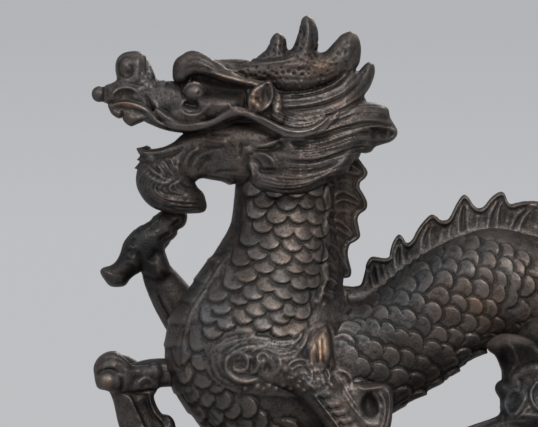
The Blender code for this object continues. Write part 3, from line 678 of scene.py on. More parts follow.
# ---------------------------------------------------------------- drawing
class Sheet:
    """Relief drawn on the sheet: height in mm over (u, v)."""

    def __init__(self, u0, v0, u1, v1, step=0.5):
        self.u0, self.v0, self.step = float(u0), float(v0), step
        self.h = np.zeros((int((v1 - v0) / step) + 1, int((u1 - u0) / step) + 1), np.float32)

    def window(self, pts, pad):
        n = np.array(self.h.shape[::-1])
        o = np.array([self.u0, self.v0])
        a = np.clip(((pts.min(0) - pad - o) / self.step).astype(int), 0, n)
        b = np.clip(((pts.max(0) + pad - o) / self.step).astype(int) + 2, 0, n)
        s = (slice(a[1], b[1]), slice(a[0], b[0]))
        u = self.u0 + self.step * np.arange(a[0], b[0])
        v = self.v0 + self.step * np.arange(a[1], b[1])
        return s, *np.meshgrid(u, v)

    def line(self, points, wide, high, ends=(0.25, 0.25), how="add"):
        """Ridge (high > 0) or groove along a smooth line. wide (units) and
        high (mm) may be lists spread along it."""
        pts = np.array([p[:2] for p in points], float)
        length = np.hypot(*np.diff(pts, axis=0).T).sum()
        pts = catmull(pts, max(4, int(length / 1.6)))
        wide = np.atleast_1d(wide)
        high = np.atleast_1d(high)
        reach = 2.3 * wide.max()
        s, U, V = self.window(pts, reach)
        if U.size == 0:
            return
        best = np.full(U.shape, 1e9, np.float32)
        way = np.zeros(U.shape, np.float32)
        n = len(pts) - 1
        for i in range(n):
            (ax, ay), (bx, by) = pts[i], pts[i + 1] - pts[i]
            t = np.clip(((U - ax) * bx + (V - ay) * by) / (bx * bx + by * by + 1e-9), 0, 1)
            d = np.hypot(U - ax - t * bx, V - ay - t * by)
            m = d < best
            best[m] = d[m]
            way[m] = ((i + t) / n)[m]
        w = np.interp(way, np.linspace(0, 1, len(wide)), wide) if len(wide) > 1 else wide[0]
        a = np.interp(way, np.linspace(0, 1, len(high)), high) if len(high) > 1 else high[0]
        if ends[0] > 0:
            a = a * smooth(way + 0.02, 0, ends[0])
        if ends[1] > 0:
            a = a * (1 - smooth(way - 0.02, 1 - ends[1], 1))
        val = a * np.exp(-(best / w) ** 2)
        if how == "add":
            self.h[s] += val
        elif how == "max":
            self.h[s] = np.maximum(self.h[s], val)
        else:
            self.h[s] = np.minimum(self.h[s], val)

    def lines(self, rows, wide, high, **more):
        for points in rows:
            self.line(points, wide, high, **more)

    def dot(self, u, v, wide, high, tall=0.0):
        pts = np.array([[u, v], [u, v]], float)
        s, U, V = self.window(pts, 2.4 * max(wide, tall))
        if U.size:
            self.h[s] += high * np.exp(-((U - u) / wide) ** 2 - ((V - v) / (tall or wide)) ** 2)

    def locks(self, guides, between, wide, high, seed=0, ends=(0.15, 0.12), wave=0.35):
        """Strands of hair that follow the guides and fill between them."""
        base = [catmull([p[:2] for p in g], 24) for g in guides]
        k = 0
        for a, b in zip(base, base[1:]):
            for j in range(between):
                t = j / between
                pts = a * (1 - t) + b * t
                w = np.linspace(0, 1, len(pts))
                shift = wave * math.sin(seed + 2.1 * k) * np.sin(2 * math.pi * (w * 1.3 + hashed(k, seed)))
                pts = pts + np.stack([0 * shift, shift], axis=1)
                size = 0.8 + 0.4 * float(hashed(k, 3, seed))
                tall = high * (0.55 + 0.75 * float(hashed(k, 9, seed)))
                cut = 0.12 * float(hashed(k, 5, seed))
                m = len(pts)
                pts = pts[int(m * cut * 0.5):m - int(m * cut)]
                self.line(pts[::2], wide * size, tall, ends=ends, how="max")
                k += 1

    def at(self, u, v):
        x = np.clip((u - self.u0) / self.step, 0, self.h.shape[1] - 1.001)
        y = np.clip((v - self.v0) / self.step, 0, self.h.shape[0] - 1.001)
        i, j = x.astype(np.int32), y.astype(np.int32)
        fx, fy = (x - i).astype(np.float32), (y - j).astype(np.float32)
        h = self.h
        return ((h[j, i] * (1 - fx) + h[j, i + 1] * fx) * (1 - fy)
                + (h[j + 1, i] * (1 - fx) + h[j + 1, i + 1] * fx) * fy)


def outline_distance(outline, pad, step=0.6, soft=True):
    """Signed distance (units, - inside) to a closed outline, as a Sheet."""
    pts = np.array(outline, float)
    if soft:
        closed = np.vstack([pts, pts[:1]])
        ring = []
        n = len(pts)
        for i in range(n):
            p0, p1, p2, p3 = pts[(i - 1) % n], pts[i], pts[(i + 1) % n], pts[(i + 2) % n]
            for t in (0.0, 0.34, 0.67):
                ring.append(0.5 * (2 * p1 + (p2 - p0) * t + (2 * p0 - 5 * p1 + 4 * p2 - p3) * t * t
                                   + (3 * p1 - p0 - 3 * p2 + p3) * t ** 3))
        pts = np.array(ring)
    lo, hi = pts.min(0) - pad, pts.max(0) + pad
    out = Sheet(lo[0], lo[1], hi[0], hi[1], step)
    u = out.u0 + step * np.arange(out.h.shape[1])
    v = out.v0 + step * np.arange(out.h.shape[0])
    U, V = np.meshgrid(u.astype(np.float32), v.astype(np.float32))
    d = np.full(U.shape, 1e9, np.float32)
    inside = np.zeros(U.shape, bool)
    for a, b in zip(pts, np.roll(pts, -1, axis=0)):
        e = b - a
        t = np.clip(((U - a[0]) * e[0] + (V - a[1]) * e[1]) / (e.dot(e) + 1e-9), 0, 1)
        d = np.minimum(d, (U - a[0] - t * e[0]) ** 2 + (V - a[1] - t * e[1]) ** 2)
        if a[1] != b[1]:
            cross = ((a[1] <= V) != (b[1] <= V)) & (U < a[0] + (V - a[1]) * e[0] / e[1])
            inside ^= cross
    out.h = np.where(inside, -np.sqrt(d), np.sqrt(d)).astype(np.float32)
    return out


def spread(values, u):
    """A number, or (u, value) pairs read off at u."""
    if isinstance(values, (int, float)):
        return values
    k = np.array(values, float)
    return np.interp(u, k[:, 0], k[:, 1]).astype(np.float32)


def slab(F, outline, mid, half, edge, k=0.6, cut=False, pair=False, soft=True, grow=0.0):
    """Pillow with this outline: mid is its middle y, half its half
    thickness, edge the rounding of its rim (mm)."""
    far = 10.0 / SHEET * 0.6
    sheet = outline_distance(outline, far, soft=soft)
    lo_u, hi_u = sheet.u0, sheet.u0 + sheet.step * (sheet.h.shape[1] - 1)
    lo_v, hi_v = sheet.v0, sheet.v0 + sheet.step * (sheet.h.shape[0] - 1)
    m = spread(mid, np.array([lo_u, (lo_u + hi_u) / 2, hi_u]))
    t = spread(half, np.array([lo_u, (lo_u + hi_u) / 2, hi_u]))
    deep = float(np.max(np.abs(m)) + np.max(t)) + 2.0
    x0, x1 = (lo_u - U_MID) * SHEET - deep * SKEW, (hi_u - U_MID) * SHEET + deep * SKEW
    s, (x, y, z) = F.block((x0, -deep, (V_BASE - hi_v) * SHEET), (x1, deep, (V_BASE - lo_v) * SHEET))
    if s is None:
        return
    ay = np.abs(y)
    u = U_MID + (x - (y * SKEW if pair else float(np.mean(m)) * SKEW)) / SHEET + 0 * z
    v = V_BASE - z / SHEET + 0 * u
    inside = (u >= lo_u) & (u <= hi_u) & (v >= lo_v) & (v <= hi_v)
    d2 = np.where(inside, sheet.at(u, v), far) * SHEET - grow
    mm, tt = spread(mid, u), spread(half, u)
    e = np.minimum(edge, tt)
    across = (np.abs(ay + mm) if pair else np.abs(y - mm)) - (tt - e)
    a = d2 + e
    d = np.hypot(np.maximum(a, 0), np.maximum(across, 0)) + np.minimum(np.maximum(a, across), 0) - e
    (F.cut if cut else F.join)(s, d.astype(np.float32), k)


def engrave(F, art, du=0.0, dv=0.0):
    """Raises the field's skin by the relief drawn on the sheet, on both
    flanks; du and dv carry the drawing along to the other leg's haunch."""
    x, y, z = F.axis[0][:, None] - du * SHEET, F.axis[1], F.axis[2][None, :]
    v = V_BASE - z / SHEET - dv + 0 * x
    for j, yy in enumerate(y):
        u = U_MID + (x - yy * SKEW) / SHEET + 0 * z
        F.f[:, j, :] -= art.at(u, v)


def speckle(art, inside, u0, v0, u1, v1, pitch, wide, high, seed=0):
    """Irregular beads or pits strewn over a region."""
    i = 0
    v = v0
    while v < v1:
        u = u0 + (0.5 * pitch if i % 2 else 0)
        j = 0
        while u < u1:
            du = (hashed(i, j, seed) - 0.5) * 0.75 * pitch
            dv = (hashed(i, j, seed + 1) - 0.5) * 0.6 * pitch
            pu, pv = float(u + du), float(v + dv)
            if inside(pu, pv):
                size = wide * (0.8 + 0.45 * float(hashed(i, j, seed + 2)))
                pick = float(hashed(i, j, seed + 3))
                art.dot(pu, pv, size, high(pu, pv, pick))
            u += pitch
            j += 1
        v += pitch * 0.82
        i += 1


def inside_of(outline):
    pts = np.array(outline, float)

    def test(u, v):
        a, b = pts, np.roll(pts, -1, axis=0)
        hit = (a[:, 1] <= v) != (b[:, 1] <= v)
        with np.errstate(divide="ignore", invalid="ignore"):
            x = a[:, 0] + (v - a[:, 1]) * (b[:, 0] - a[:, 0]) / (b[:, 1] - a[:, 1])
        return bool((hit & (u < x)).sum() % 2)
    return test


# ---------------------------------------------------------------- trunk
# Scales of the near flank: u, v of the tip, heading in degrees (0 = along
# +u, 90 = down the sheet), and, where they differ, half width and height.
NECK_SCALES = [
    (253, 197, 93), (275, 199, 92), (296, 199, 90), (315, 198, 90), (264, 209, 92), (287, 211.5, 91), (306, 209.5, 90), (323, 212, 88), (256, 220, 94), (276, 224.5, 92),
    (298, 223.5, 90), (315, 225, 88), (263, 233.5, 93), (284, 239, 91), (304, 241, 89), (320, 238, 86),
    (250, 247, 95), (269.5, 250, 93), (292.5, 252, 91), (312, 250.5, 88), (257, 260.5, 95),
    (280, 264.5, 94), (305, 263, 89), (320, 262, 85), (241, 268, 97), (264, 274, 95), (295, 274, 92),
    (312, 275, 86), (246, 282, 97), (280, 283, 96), (298.5, 289.5, 92), (312, 288, 84), (233, 290.5, 98), (267, 292, 97),
    (284, 299.5, 94), (252, 299.5, 98), (300, 304, 88), (218, 303, 98), (239.5, 305, 98), (271.5, 309.5, 95), (289.5, 316, 90),
    (221.5, 314.5, 98), (256, 315.5, 97), (209, 323, 96), (242.5, 323.5, 97), (225.5, 328.5, 96),
    (263, 330, 95), (280, 323, 92), (301, 319, 85), (212, 336.5, 95), (281, 336, 90), (298, 337, 84), (245, 338, 95), (229, 343, 93),
    (198, 350.5, 93), (213, 353, 90), (187, 362.5, 66), (203, 367, 76), (217, 371, 74), (190, 381, 62), (207, 386.5, 66),
    (221, 391, 60), (197, 400, 60), (212, 404, 55), (228, 406, 50), (206, 419, 50), (222, 421, 46), (239, 415, 42), (255, 412, 36),
    (218, 436, 42), (236, 432, 38), (252, 428, 32), (268, 424, 26), (236, 448, 30), (252, 444, 26), (268, 440, 20), (284, 434, 14),
    (262, 457, 20), (280, 452, 12), (298, 446, 4), (300, 428, 4),
]
BODY_SCALES = [
    (341, 337, -62), (352, 318, -66), (361, 317, -60), (374, 318, -55), (348, 333, -60), (383, 305, -52), (398, 307, -45),
    (367, 303, -60), (375, 291, -60), (389, 286, -58), (404, 290, -55), (412, 277, -50), (421, 295, -44), (412, 311, -45),
    (391, 323, -45), (405, 330, -45), (366, 334, -52), (379, 341, -47), (353, 345, -52), (366, 358, -46), (395, 347, -48),
    (419, 334, -44), (427, 318, -44), (412, 351, -44), (427, 357, -43), (438, 342, -44), (438, 304, -42), (458, 309, -40),
    (446, 289, -40), (430, 271, -44), (449, 273, -40), (404, 369, -45), (385, 363, -46), (461, 331, -42), (450, 346, -44),
    (444, 328, -42), (439, 257, -38), (455, 261, -36), (472, 264, -34), (459, 246, -42), (464, 236, -40), (478, 237, -34), (441, 246, -44),
    (476, 252, -34), (493, 256, -26), (497, 244, -26), (511, 263, -18), (513, 248, -18), (490, 271, -32), (504, 276, -26),
    (469, 281, -36), (486, 283, -33), (502, 288, -30), (515, 292, -24), (519, 279, -16), (523, 268, -6), (530, 258, -4),
    (533, 286, 6), (464, 297, -38), (480, 301, -36), (495, 304, -36), (474, 317, -40), (488, 319, -40), (502, 321, -38),
    (478, 336, -42), (496, 337, -40), (510, 311, -34), (421, 373, -42), (436, 366, -42), (456, 356, -42), (470, 349, -42),
    (340, 318, -72), (358, 291, -72), (367, 380, -44), (390, 386, -42), (408, 386, -40), (424, 386, -38), (441, 376, -38), (458, 366, -38),
    (518, 326, -30), (528, 308, -18), (425, 262, -50), (486, 350, -38),
]
# Worn patches where the scales fade: u, v, radius
WORN = [(512, 312, 20), (524, 322, 24), (330, 308, 15), (500, 336, 12)]

TRUNK_N = 2400
tc, tup, ta, tside, tw = trunk_frames(TRUNK_N)


def trunk_point(s, q):
    """Point of the plain trunk; s is a fractional station, q runs from the
    fin (0) over the near flank to the belly (pi) and back (2 pi)."""
    s = np.clip(s, 0, TRUNK_N - 1.001)
    i = s.astype(int)
    f = (s - i)[..., None]

    def at(x):
        return x[i] * (1 - f) + x[i + 1] * f

    c, up, side = at(tc), at(tup), at(tside)
    a = at(ta[:, None])
    w = at(tw[:, None])
    x, y = np.cos(q), np.sin(q)
    x = np.sign(x) * np.abs(x) ** 0.92
    y = np.sign(y) * np.abs(y) ** 0.92
    return c + up * a * x[..., None] - side * w * y[..., None]


def trunk_grid():
    """Stations and angles of the trunk's mesh, finest on the near flank."""
    dors = tc + tup * ta[:, None]
    vent = tc - tup * ta[:, None]
    step = np.maximum(np.linalg.norm(np.diff(tc, axis=0), axis=1),
                      0.5 * np.linalg.norm(np.diff(dors, axis=0), axis=1)
                      + 0.5 * np.linalg.norm(np.diff(vent, axis=0), axis=1))
    size = np.where(tc[:-1, 0] > (560 - U_MID) * SHEET, 0.48, FINE)
    past = np.arange(TRUNK_N - 1) > TRUNK_N * 16 / 29
    size = np.where(past & (size == FINE), 0.42, size)
    run = np.concatenate([[0], np.cumsum(step / size)])
    n = int(run[-1])
    s = np.interp(np.linspace(0, run[-1], n), run, np.arange(TRUNK_N))
    near = int(60 / FINE)
    far = int(60 / 0.62)
    q = np.concatenate([np.linspace(0, math.pi, near, endpoint=False),
                        np.linspace(math.pi, 2 * math.pi, far, endpoint=False)])
    return s, q


FINE = 0.33


# Plate of curls over the shoulder, and everything carved on it and the arm
PLATE = [(205, 352), (212, 342), (224, 334.5), (244, 331.5), (262, 334), (280, 337.5), (294, 335), (304, 328), (313, 323.5), (326, 321), (334, 328),
         (337, 345), (339, 362), (348, 374), (356, 395), (366, 427), (340, 430), (313, 391.5), (300, 394), (275, 394), (245, 392), (225, 386.5), (212, 379), (206, 366)]
SPUR = [(305.6, 366), (305.8, 354), (307, 344), (311, 335.6), (317.4, 329.6), (323.6, 325.4), (327.8, 328.6), (330.2, 341), (331.6, 354), (331.4, 367)]


def shoulder_art():
    art = Sheet(190, 312, 400, 440)
    line, lines, dot = art.line, art.lines, art.dot
    lines([[(208.4, 352), (207.4, 362), (211, 372), (218, 379.4), (229, 385.6), (243, 389.4)],
           [(214.6, 350), (213.4, 360), (216.6, 370), (223.6, 377.4), (234, 382.4), (248, 385.4)],
           [(221.6, 350), (219.6, 359), (222.4, 368), (229, 375.6)]], 1.6, 0.28)
    line([(233, 350.6), (228, 356.6), (226.8, 364), (229.8, 371), (236, 376.4), (244.4, 378.8), (253, 378.2), (262, 375.6)], (1.6, 2.6, 2.8, 1.8), 1.15)
    line([(231.6, 354), (236, 350.4), (242.8, 351), (247.6, 355.6), (249, 361.6), (246, 367), (240, 369), (234.6, 366.8), (232.6, 361.6)], 1.7, 0.65, ends=(0.1, 0.15))
    dot(239.8, 359.6, 3.2, -0.5)
    dot(239.6, 356.6, 2.0, 0.35)
    dot(251.6, 361.4, 2.6, -0.95, 4.2)
    line([(250, 372.4), (255.6, 368.6), (258.4, 361), (257.4, 354), (262, 350.6), (267.4, 353), (268.4, 359.4)], 1.7, 0.7, ends=(0.15, 0.15))
    dot(262.6, 360.4, 2.8, 0.45, 5.0)
    dot(267.6, 365.6, 3.4, -1.1, 5.0)
    line([(276, 351.6), (279.6, 359), (277.6, 367.6), (270.6, 373.4)], 2.0, 0.6)
    dot(283.6, 355.4, 4.6, 0.5, 2.6)
    dot(284.4, 364, 3.6, 0.4, 4.6)
    art.locks([[(249, 350), (264, 347.6), (282, 350), (304, 347)], [(219, 350), (230, 342.6), (246, 340), (264, 341), (282, 343.6), (302, 340)],
               [(214, 345), (226, 337), (242, 333), (260, 333), (280, 337), (301, 332)]], 4, 1.15, 0.50, 17, (0.1, 0.1), 1.3)
    speckle(art, inside_of([(222, 345), (236, 334), (262, 333), (300, 334), (302, 348), (260, 350), (230, 349)]), 220, 332, 304, 351, 5.0, 1.5, lambda u, v, p: 0.5 * (p - 0.5), 19)
    line([(287.6, 368), (289.6, 361), (295.6, 357.4), (303, 356.8), (308.4, 360.4)], 2.0, 0.9)
    line([(293, 366), (298, 362.4), (304, 363)], 1.6, 0.5)
    line([(307.6, 331.4), (303.6, 342), (297, 350.4), (287, 356.6)], 2.1, 0.7)
    line([(303, 330), (298, 338), (290, 344)], 1.6, 0.4)
    # horn-like spur
    pad = outline_distance(SPUR, 4, 0.5)
    U, V = np.meshgrid(art.u0 + art.step * np.arange(art.h.shape[1]), art.v0 + art.step * np.arange(art.h.shape[0]))
    box = (U > pad.u0 + 1) & (U < pad.u0 + pad.step * (pad.h.shape[1] - 2)) & (V > pad.v0 + 1) & (V < pad.v0 + pad.step * (pad.h.shape[0] - 2))
    d = np.where(box, pad.at(U, V), 9.0)
    art.h += (1.9 * np.sqrt(smooth(-d, -1.2, 8.0))).astype(np.float32)
    line([(314.6, 338), (316.2, 350), (317.6, 362)], 1.5, -0.6)
    line([(322, 331), (322.6, 346), (323, 360)], 1.3, -0.35)
    line([(326.6, 332), (328, 344), (328.6, 358)], 1.7, 0.4)
    line([(318.6, 333), (319.4, 346), (320, 360)], 1.7, 0.35)
    line([(310.4, 344), (310.6, 356), (312.4, 366)], 1.6, 0.3)
    # beads
    for u, v, r in ((257.4, 384.6, 2.8), (269.4, 383.6, 2.4), (282.4, 383.6, 2.4), (297, 383.6, 2.3), (307.6, 381.4, 2.2), (245.6, 386, 2.0), (290, 386.4, 1.6), (263.4, 386.6, 1.6),
                    (276, 386.6, 1.6), (303, 387.4, 1.8), (313.6, 384.6, 2.0)):
        dot(u, v, r, 0.75)
    region = inside_of([(284, 362), (296, 368), (308, 364), (330, 363), (334, 374), (333, 384), (320, 389), (300, 381), (286, 376)])
    speckle(art, region, 284, 362, 336, 390, 5.2, 1.75, lambda u, v, p: 0.9 * (0.45 + 0.55 * p), 61)
    lines([[(310.4, 366), (312, 374), (310.6, 380)], [(320, 366), (321.6, 373), (320, 379)], [(327, 366), (329, 374), (327.6, 382)]], 1.5, 0.45)
    # plates down the outside of the arm, each with a knob at its end
    for u, v in ((328.4, 389.6), (337, 399.4), (343.2, 407), (349.4, 415), (355.4, 423), (361, 431)):
        line([(u - 14, v + 1.4), (u - 7, v + 1.2), (u - 1, v)], 2.6, 0.45, ends=(0.1, 0.05))
        dot(u, v, 3.5, 1.0, 3.0)
        line([(u - 14, v + 5.6), (u - 6, v + 6.2), (u + 2.4, v + 4.6)], 1.2, -0.42)
    line([(312.6, 390.2), (321, 401.4), (330, 413), (341, 428)], 1.25, 0.85, ends=(0.1, 0.0))
    line([(316.4, 389.6), (325, 401), (335, 414), (345, 427)], 1.4, -0.55)
    lines([[(332.6, 368), (338, 379), (345.4, 392), (354, 406), (364, 419)], [(337, 371), (344.6, 384), (352, 397), (361, 409)]], 1.9, 0.6)
    lines([[(334.4, 371), (341, 384), (349.6, 398), (359, 412)], [(340, 374), (348, 388), (355, 399)]], 1.15, -0.5)
    speckle(art, inside_of([(338, 378), (346, 378), (362, 404), (362, 416), (350, 408)]), 336, 376, 364, 418, 3.6, 1.2, lambda u, v, p: 0.5 * (p - 0.4), 23)
    line([(336.6, 369.4), (342, 369), (347.4, 372), (350.4, 377.6), (351.2, 384)], 1.9, 0.85)
    line([(341, 375.4), (345, 379.6), (347.4, 386)], 1.7, 0.4)
    # cup of the elbow
    dot(366, 400, 6.4, -1.3, 9.5)
    line([(369.6, 389.6), (374.4, 397), (378.6, 408)], 2.6, 0.35)
    line([(377.6, 389.6), (382, 396.4), (383.6, 407), (381.6, 418), (378, 428)], 1.7, 0.8, ends=(0.1, 0.1))
    line([(385.6, 386), (387.8, 395), (387.4, 409), (384.6, 425)], 1.3, 0.65, ends=(0.1, 0.1))
    line([(384.4, 392), (385.6, 402), (384.4, 416)], 1.0, -0.4)
    line([(354.6, 381), (361, 385.6), (371, 385), (386, 382.4)], 2.0, 0.6)
    line([(358, 380), (366, 379.6), (374, 379.6)], 1.2, -0.5)
    line([(361.6, 417.4), (370, 420.6), (379.6, 420)], 2.6, 0.5)
    return art


def nape_art():
    """Slack skin and curls where the neck meets its fin."""
    art = Sheet(298, 164, 356, 322)
    line, lines, dot = art.line, art.lines, art.dot
    line([(331, 176), (328.4, 190), (330.6, 206), (327, 222), (330, 240), (326.6, 258), (328.4, 274), (323, 290), (320, 304)], 1.9, 0.45, ends=(0.1, 0.1))
    line([(326, 180), (323.4, 196), (325.4, 212), (322, 228), (325, 246), (321.4, 262), (323, 278), (316.4, 296)], 1.7, -0.6, ends=(0.1, 0.1))
    lines([[(329, 186), (335, 184.6), (340, 188)], [(330, 210), (337, 212), (342, 218)], [(328, 226), (334, 229), (339, 235)], [(329.4, 243), (336, 247), (340, 254)],
           [(327.6, 262), (333, 266), (337, 272)], [(327, 278), (333, 281), (338, 286)], [(322, 292), (329, 294), (336, 298)]], 1.8, 0.55, ends=(0.2, 0.25))
    lines([[(329, 216), (336, 219), (341, 225)], [(329, 250), (334, 255), (338, 262)], [(326.4, 284), (332, 288), (338, 292)]], 1.5, -0.4, ends=(0.2, 0.25))
    for u, v, r in ((318.6, 300, 3.0), (312.4, 306, 2.6), (325, 303, 2.4), (333, 291, 2.6), (321.6, 285, 2.4)):
        dot(u, v, r, 0.45)
    return art


NAPE = nape_art()
SHOULDER = shoulder_art()
PLATE_EDGE = outline_distance(PLATE, 12, 0.6)


def on_plate(u, v):
    """1 inside the shoulder's plate, fading out over its rim."""
    s = PLATE_EDGE
    box = ((u > s.u0 + 1) & (u < s.u0 + s.step * (s.h.shape[1] - 2))
           & (v > s.v0 + 1) & (v < s.v0 + s.step * (s.h.shape[0] - 2)))
    return np.where(box, 1 - smooth(s.at(u, v), -2.6, 2.2), 0.0)


def build_trunk():
    s, q = trunk_grid()
    S, Q = np.meshgrid(s, q, indexing="ij")
    base = trunk_point(S, Q)
    n, m = S.shape
    eps = 1e-3
    dq = trunk_point(S, Q + eps) - base
    ds = trunk_point(np.minimum(S + 1, TRUNK_N - 1.01), Q) - trunk_point(np.maximum(S - 1, 0), Q)
    N = np.cross(dq, ds)
    N /= np.linalg.norm(N, axis=2)[:, :, None] + 1e-12
    outward = base - tc[np.clip(S.astype(int), 0, TRUNK_N - 1)]
    N[(N * outward).sum(axis=2) < 0] *= -1
    u, v = sheet_of(base)
    near = Q < math.pi
    height = np.zeros((n, m))
    shade, hue = np.zeros((n, m), np.float32), np.zeros((n, m), np.float32)
    under = []

    # rows of scales worked out over the rest of the trunk
    radius = (ta + tw) / 2
    plates = plate_field(S, Q, u, v)

    def stamp(k, j, D, R, H, L=1.65):
        """One scale: centre at grid (k, j), 3-D heading D, half width R."""
        C = base[k, j]
        reach = 2.1 * R + 0.5
        dk = max(3, int(reach / max(0.12, np.linalg.norm(base[min(k + 1, n - 1), j] - base[max(k - 1, 0), j]) / 2)))
        dj = max(3, int(reach / max(0.12, np.linalg.norm(base[k, (j + 1) % m] - base[k, (j - 1) % m]) / 2)))
        dk, dj = min(dk, 60), min(dj, m // 3)
        ks = np.arange(max(0, k - dk), min(n, k + dk + 1))
        js = np.arange(j - dj, j + dj + 1) % m
        blk = np.ix_(ks, js)
        rel = base[blk] - C
        Nn = N[k, j]
        D = D - Nn * D.dot(Nn)
        D = D / (np.linalg.norm(D) + 1e-9)
        A = np.cross(D, Nn)
        deep = (rel * Nn).sum(axis=2)
        x = (rel * A).sum(axis=2)
        y = (rel * D).sum(axis=2)
        # wrap distances round the curve of the flank
        flat = np.hypot(x, y) + 1e-9
        grow = np.sqrt(flat ** 2 + deep ** 2) / flat
        x, y = x * grow, y * grow
        jig = hashed(k, j)
        R = R * (0.97 + 0.08 * jig)
        x = x / 1.10
        side_r = R * (1 - 0.10 * np.clip(-y / (L * R), 0, 1) ** 2)
        e = np.where(y > 0, R - np.sqrt(x * x + (y * 0.99) ** 2), side_r - np.abs(x))
        e = np.minimum(e, (y + L * R) * 2)
        t = np.clip((y + L * R) / (L * R + R), 0, 1)
        plane = H * (0.12 + 0.88 * t ** 1.1) - 0.24 * H * (x / R) ** 2 * (0.4 + 0.6 * t)
        plane = plane * (0.92 + 0.16 * hashed(k, j, 5))
        lean = (hashed(k, j, 9) - 0.5) * 0.16
        plane = plane + lean * x * H / R
        roll = 0.30
        h = plane * np.sqrt(np.clip(1 - (1 - np.clip(e / roll, 0, 1)) ** 2, 0, 1))
        ok = (e > 0) & (deep > -2.2 * R) & ((N[blk] * Nn).sum(axis=2) > -0.15)
        h = np.where(ok, h, 0)
        won = h > height[blk]
        shade[blk] = np.where(won, (hashed(k, j, 21) - 0.5) * 0.42, shade[blk])
        hue[blk] = np.where(won, (hashed(k, j, 22) - 0.5) * 0.75, hue[blk])
        height[blk] = np.maximum(height[blk], h)
        if R > 1.2:
            out = np.where((e <= 0) & (deep > -2.2 * R) & (y > -0.75 * R), bump(-e, 0.85), 0)
            under.append((blk, out.astype(np.float32), plane.astype(np.float32)))

    V = np.array([SKEW, 1.0, 0.0])
    flat_u, flat_v = u[:, :], v[:, :]
    facing = (N @ V) < -0.03
    marks = []
    for rows, mirror in ((NECK_SCALES, False), (BODY_SCALES, False), (NECK_SCALES, True), (BODY_SCALES, True)):
        chest = rows is NECK_SCALES
        allow = facing & near & ((S < TRUNK_N * 0.27) if chest else (S > TRUNK_N * 0.235))
        cand = np.argwhere(allow)
        cu, cv = u[allow], v[allow]
        for row in rows:
            tu, tv, head = row[:3]
            R = (row[3] if len(row) > 3 else 10.2) * SHEET
            H = 1.25
            for wu, wv, wr in WORN:
                H *= 1 - 0.8 * float(bump(math.hypot(tu - wu, tv - wv), wr))
            a = math.radians(head)
            du, dv = math.cos(a), math.sin(a)
            ou, ov = tu - du * R / SHEET, tv - dv * R / SHEET
            i = int(np.argmin((cu - ou) ** 2 + (cv - ov) ** 2))
            if math.hypot(cu[i] - ou, cv[i] - ov) > 5:
                continue
            k, j = cand[i]
            d3 = np.array([du, 0.0, -dv])
            Nn = N[k, j]
            D = d3 - V * (Nn.dot(d3) / min(-0.30, Nn.dot(V)))
            if mirror:
                qq = 2 * math.pi - q[j]
                j = int(np.argmin(np.abs(q - qq)))
                Nn = N[k, j]
                D = D * np.array([1, -1, 1])
            stamp(k, j, D, R, H)
            marks.append((k, j))
    marked = base[[k for k, j in marks], [j for k, j in marks]]

    # the remaining trunk: quincunx rows that shrink with the tail
    columns = 17
    s_now = 8.0
    row = 0
    while s_now < TRUNK_N - 40:
        i = int(s_now)
        r = radius[i]
        W = 2 * math.pi * r / columns
        R = 0.47 * W
        pitch = 0.49 * W
        k = int(np.argmin(np.abs(s - s_now)))
        D_row = None
        for c in range(columns):
            qq = (c + (0.5 if row % 2 else 0.0)) / columns * 2 * math.pi
            belly = abs(qq - math.pi)
            crest = min(qq, 2 * math.pi - qq)
            if belly < 0.72 or crest < 0.20:
                continue
            j = int(np.argmin(np.abs(q - qq)))
            p = base[k, j]
            pu, pv = u[k, j], v[k, j]
            near_marks = len(marked) and (np.linalg.norm(marked - p, axis=1) < 0.62 * W).any()
            if near_marks or (pu < 530 and S[k, j] < TRUNK_N * 0.60):
                continue
            D = base[min(k + 2, n - 1), j] - base[max(k - 2, 0), j]
            H = 0.34 * R if R < 3 else 1.05
            if pu > 462 and pu < 536 and pv < 238:
                continue
            if pu < 300 and S[k, j] < TRUNK_N * 0.42 and smooth_band(pu, pv):
                continue
            for wu, wv, wr in WORN:
                H *= 1 - 0.85 * float(bump(math.hypot(pu - wu, pv - wv), wr))
            stamp(k, j, D, R, H)
        # next row: forward by the pitch along the flank
        target = 0.0
        while target < pitch and s_now < TRUNK_N - 2:
            i = int(s_now)
            target += 0.5 * (np.linalg.norm(tc[i + 1] - tc[i]) + 0.5 * (
                np.linalg.norm((tc + tup * ta[:, None])[i + 1] - (tc + tup * ta[:, None])[i])
                + np.linalg.norm((tc - tup * ta[:, None])[i + 1] - (tc - tup * ta[:, None])[i])))
            s_now += 1
        row += 1

    groove = np.zeros((n, m))
    for blk, out, plane in under:
        groove[blk] = np.maximum(groove[blk], np.where(plane > height[blk] + 0.15, out, 0))
    height = height - 0.30 * groove
    height = height + plates
    height += folds(S, Q, u, v, near)
    mu = U_MID + (base[:, :, 0] + np.abs(base[:, :, 1]) * SKEW) / SHEET
    mv = V_BASE - base[:, :, 2] / SHEET
    flank = smooth(np.abs(N[:, :, 1]), 0.15, 0.4) * (S < TRUNK_N * 0.31) * (S > TRUNK_N * 0.14)
    cover = on_plate(mu, mv) * flank
    height = height * (1 - cover) + cover * 0.45
    height += NAPE.at(mu, mv) * (mu > 299) * (mu < 355) * (mv > 165) * (mv < 321) * (S < TRUNK_N * 0.25)
    height += SHOULDER.at(mu, mv) * flank * (mu > 192) * (mu < 398) * (mv > 314) * (mv < 438)
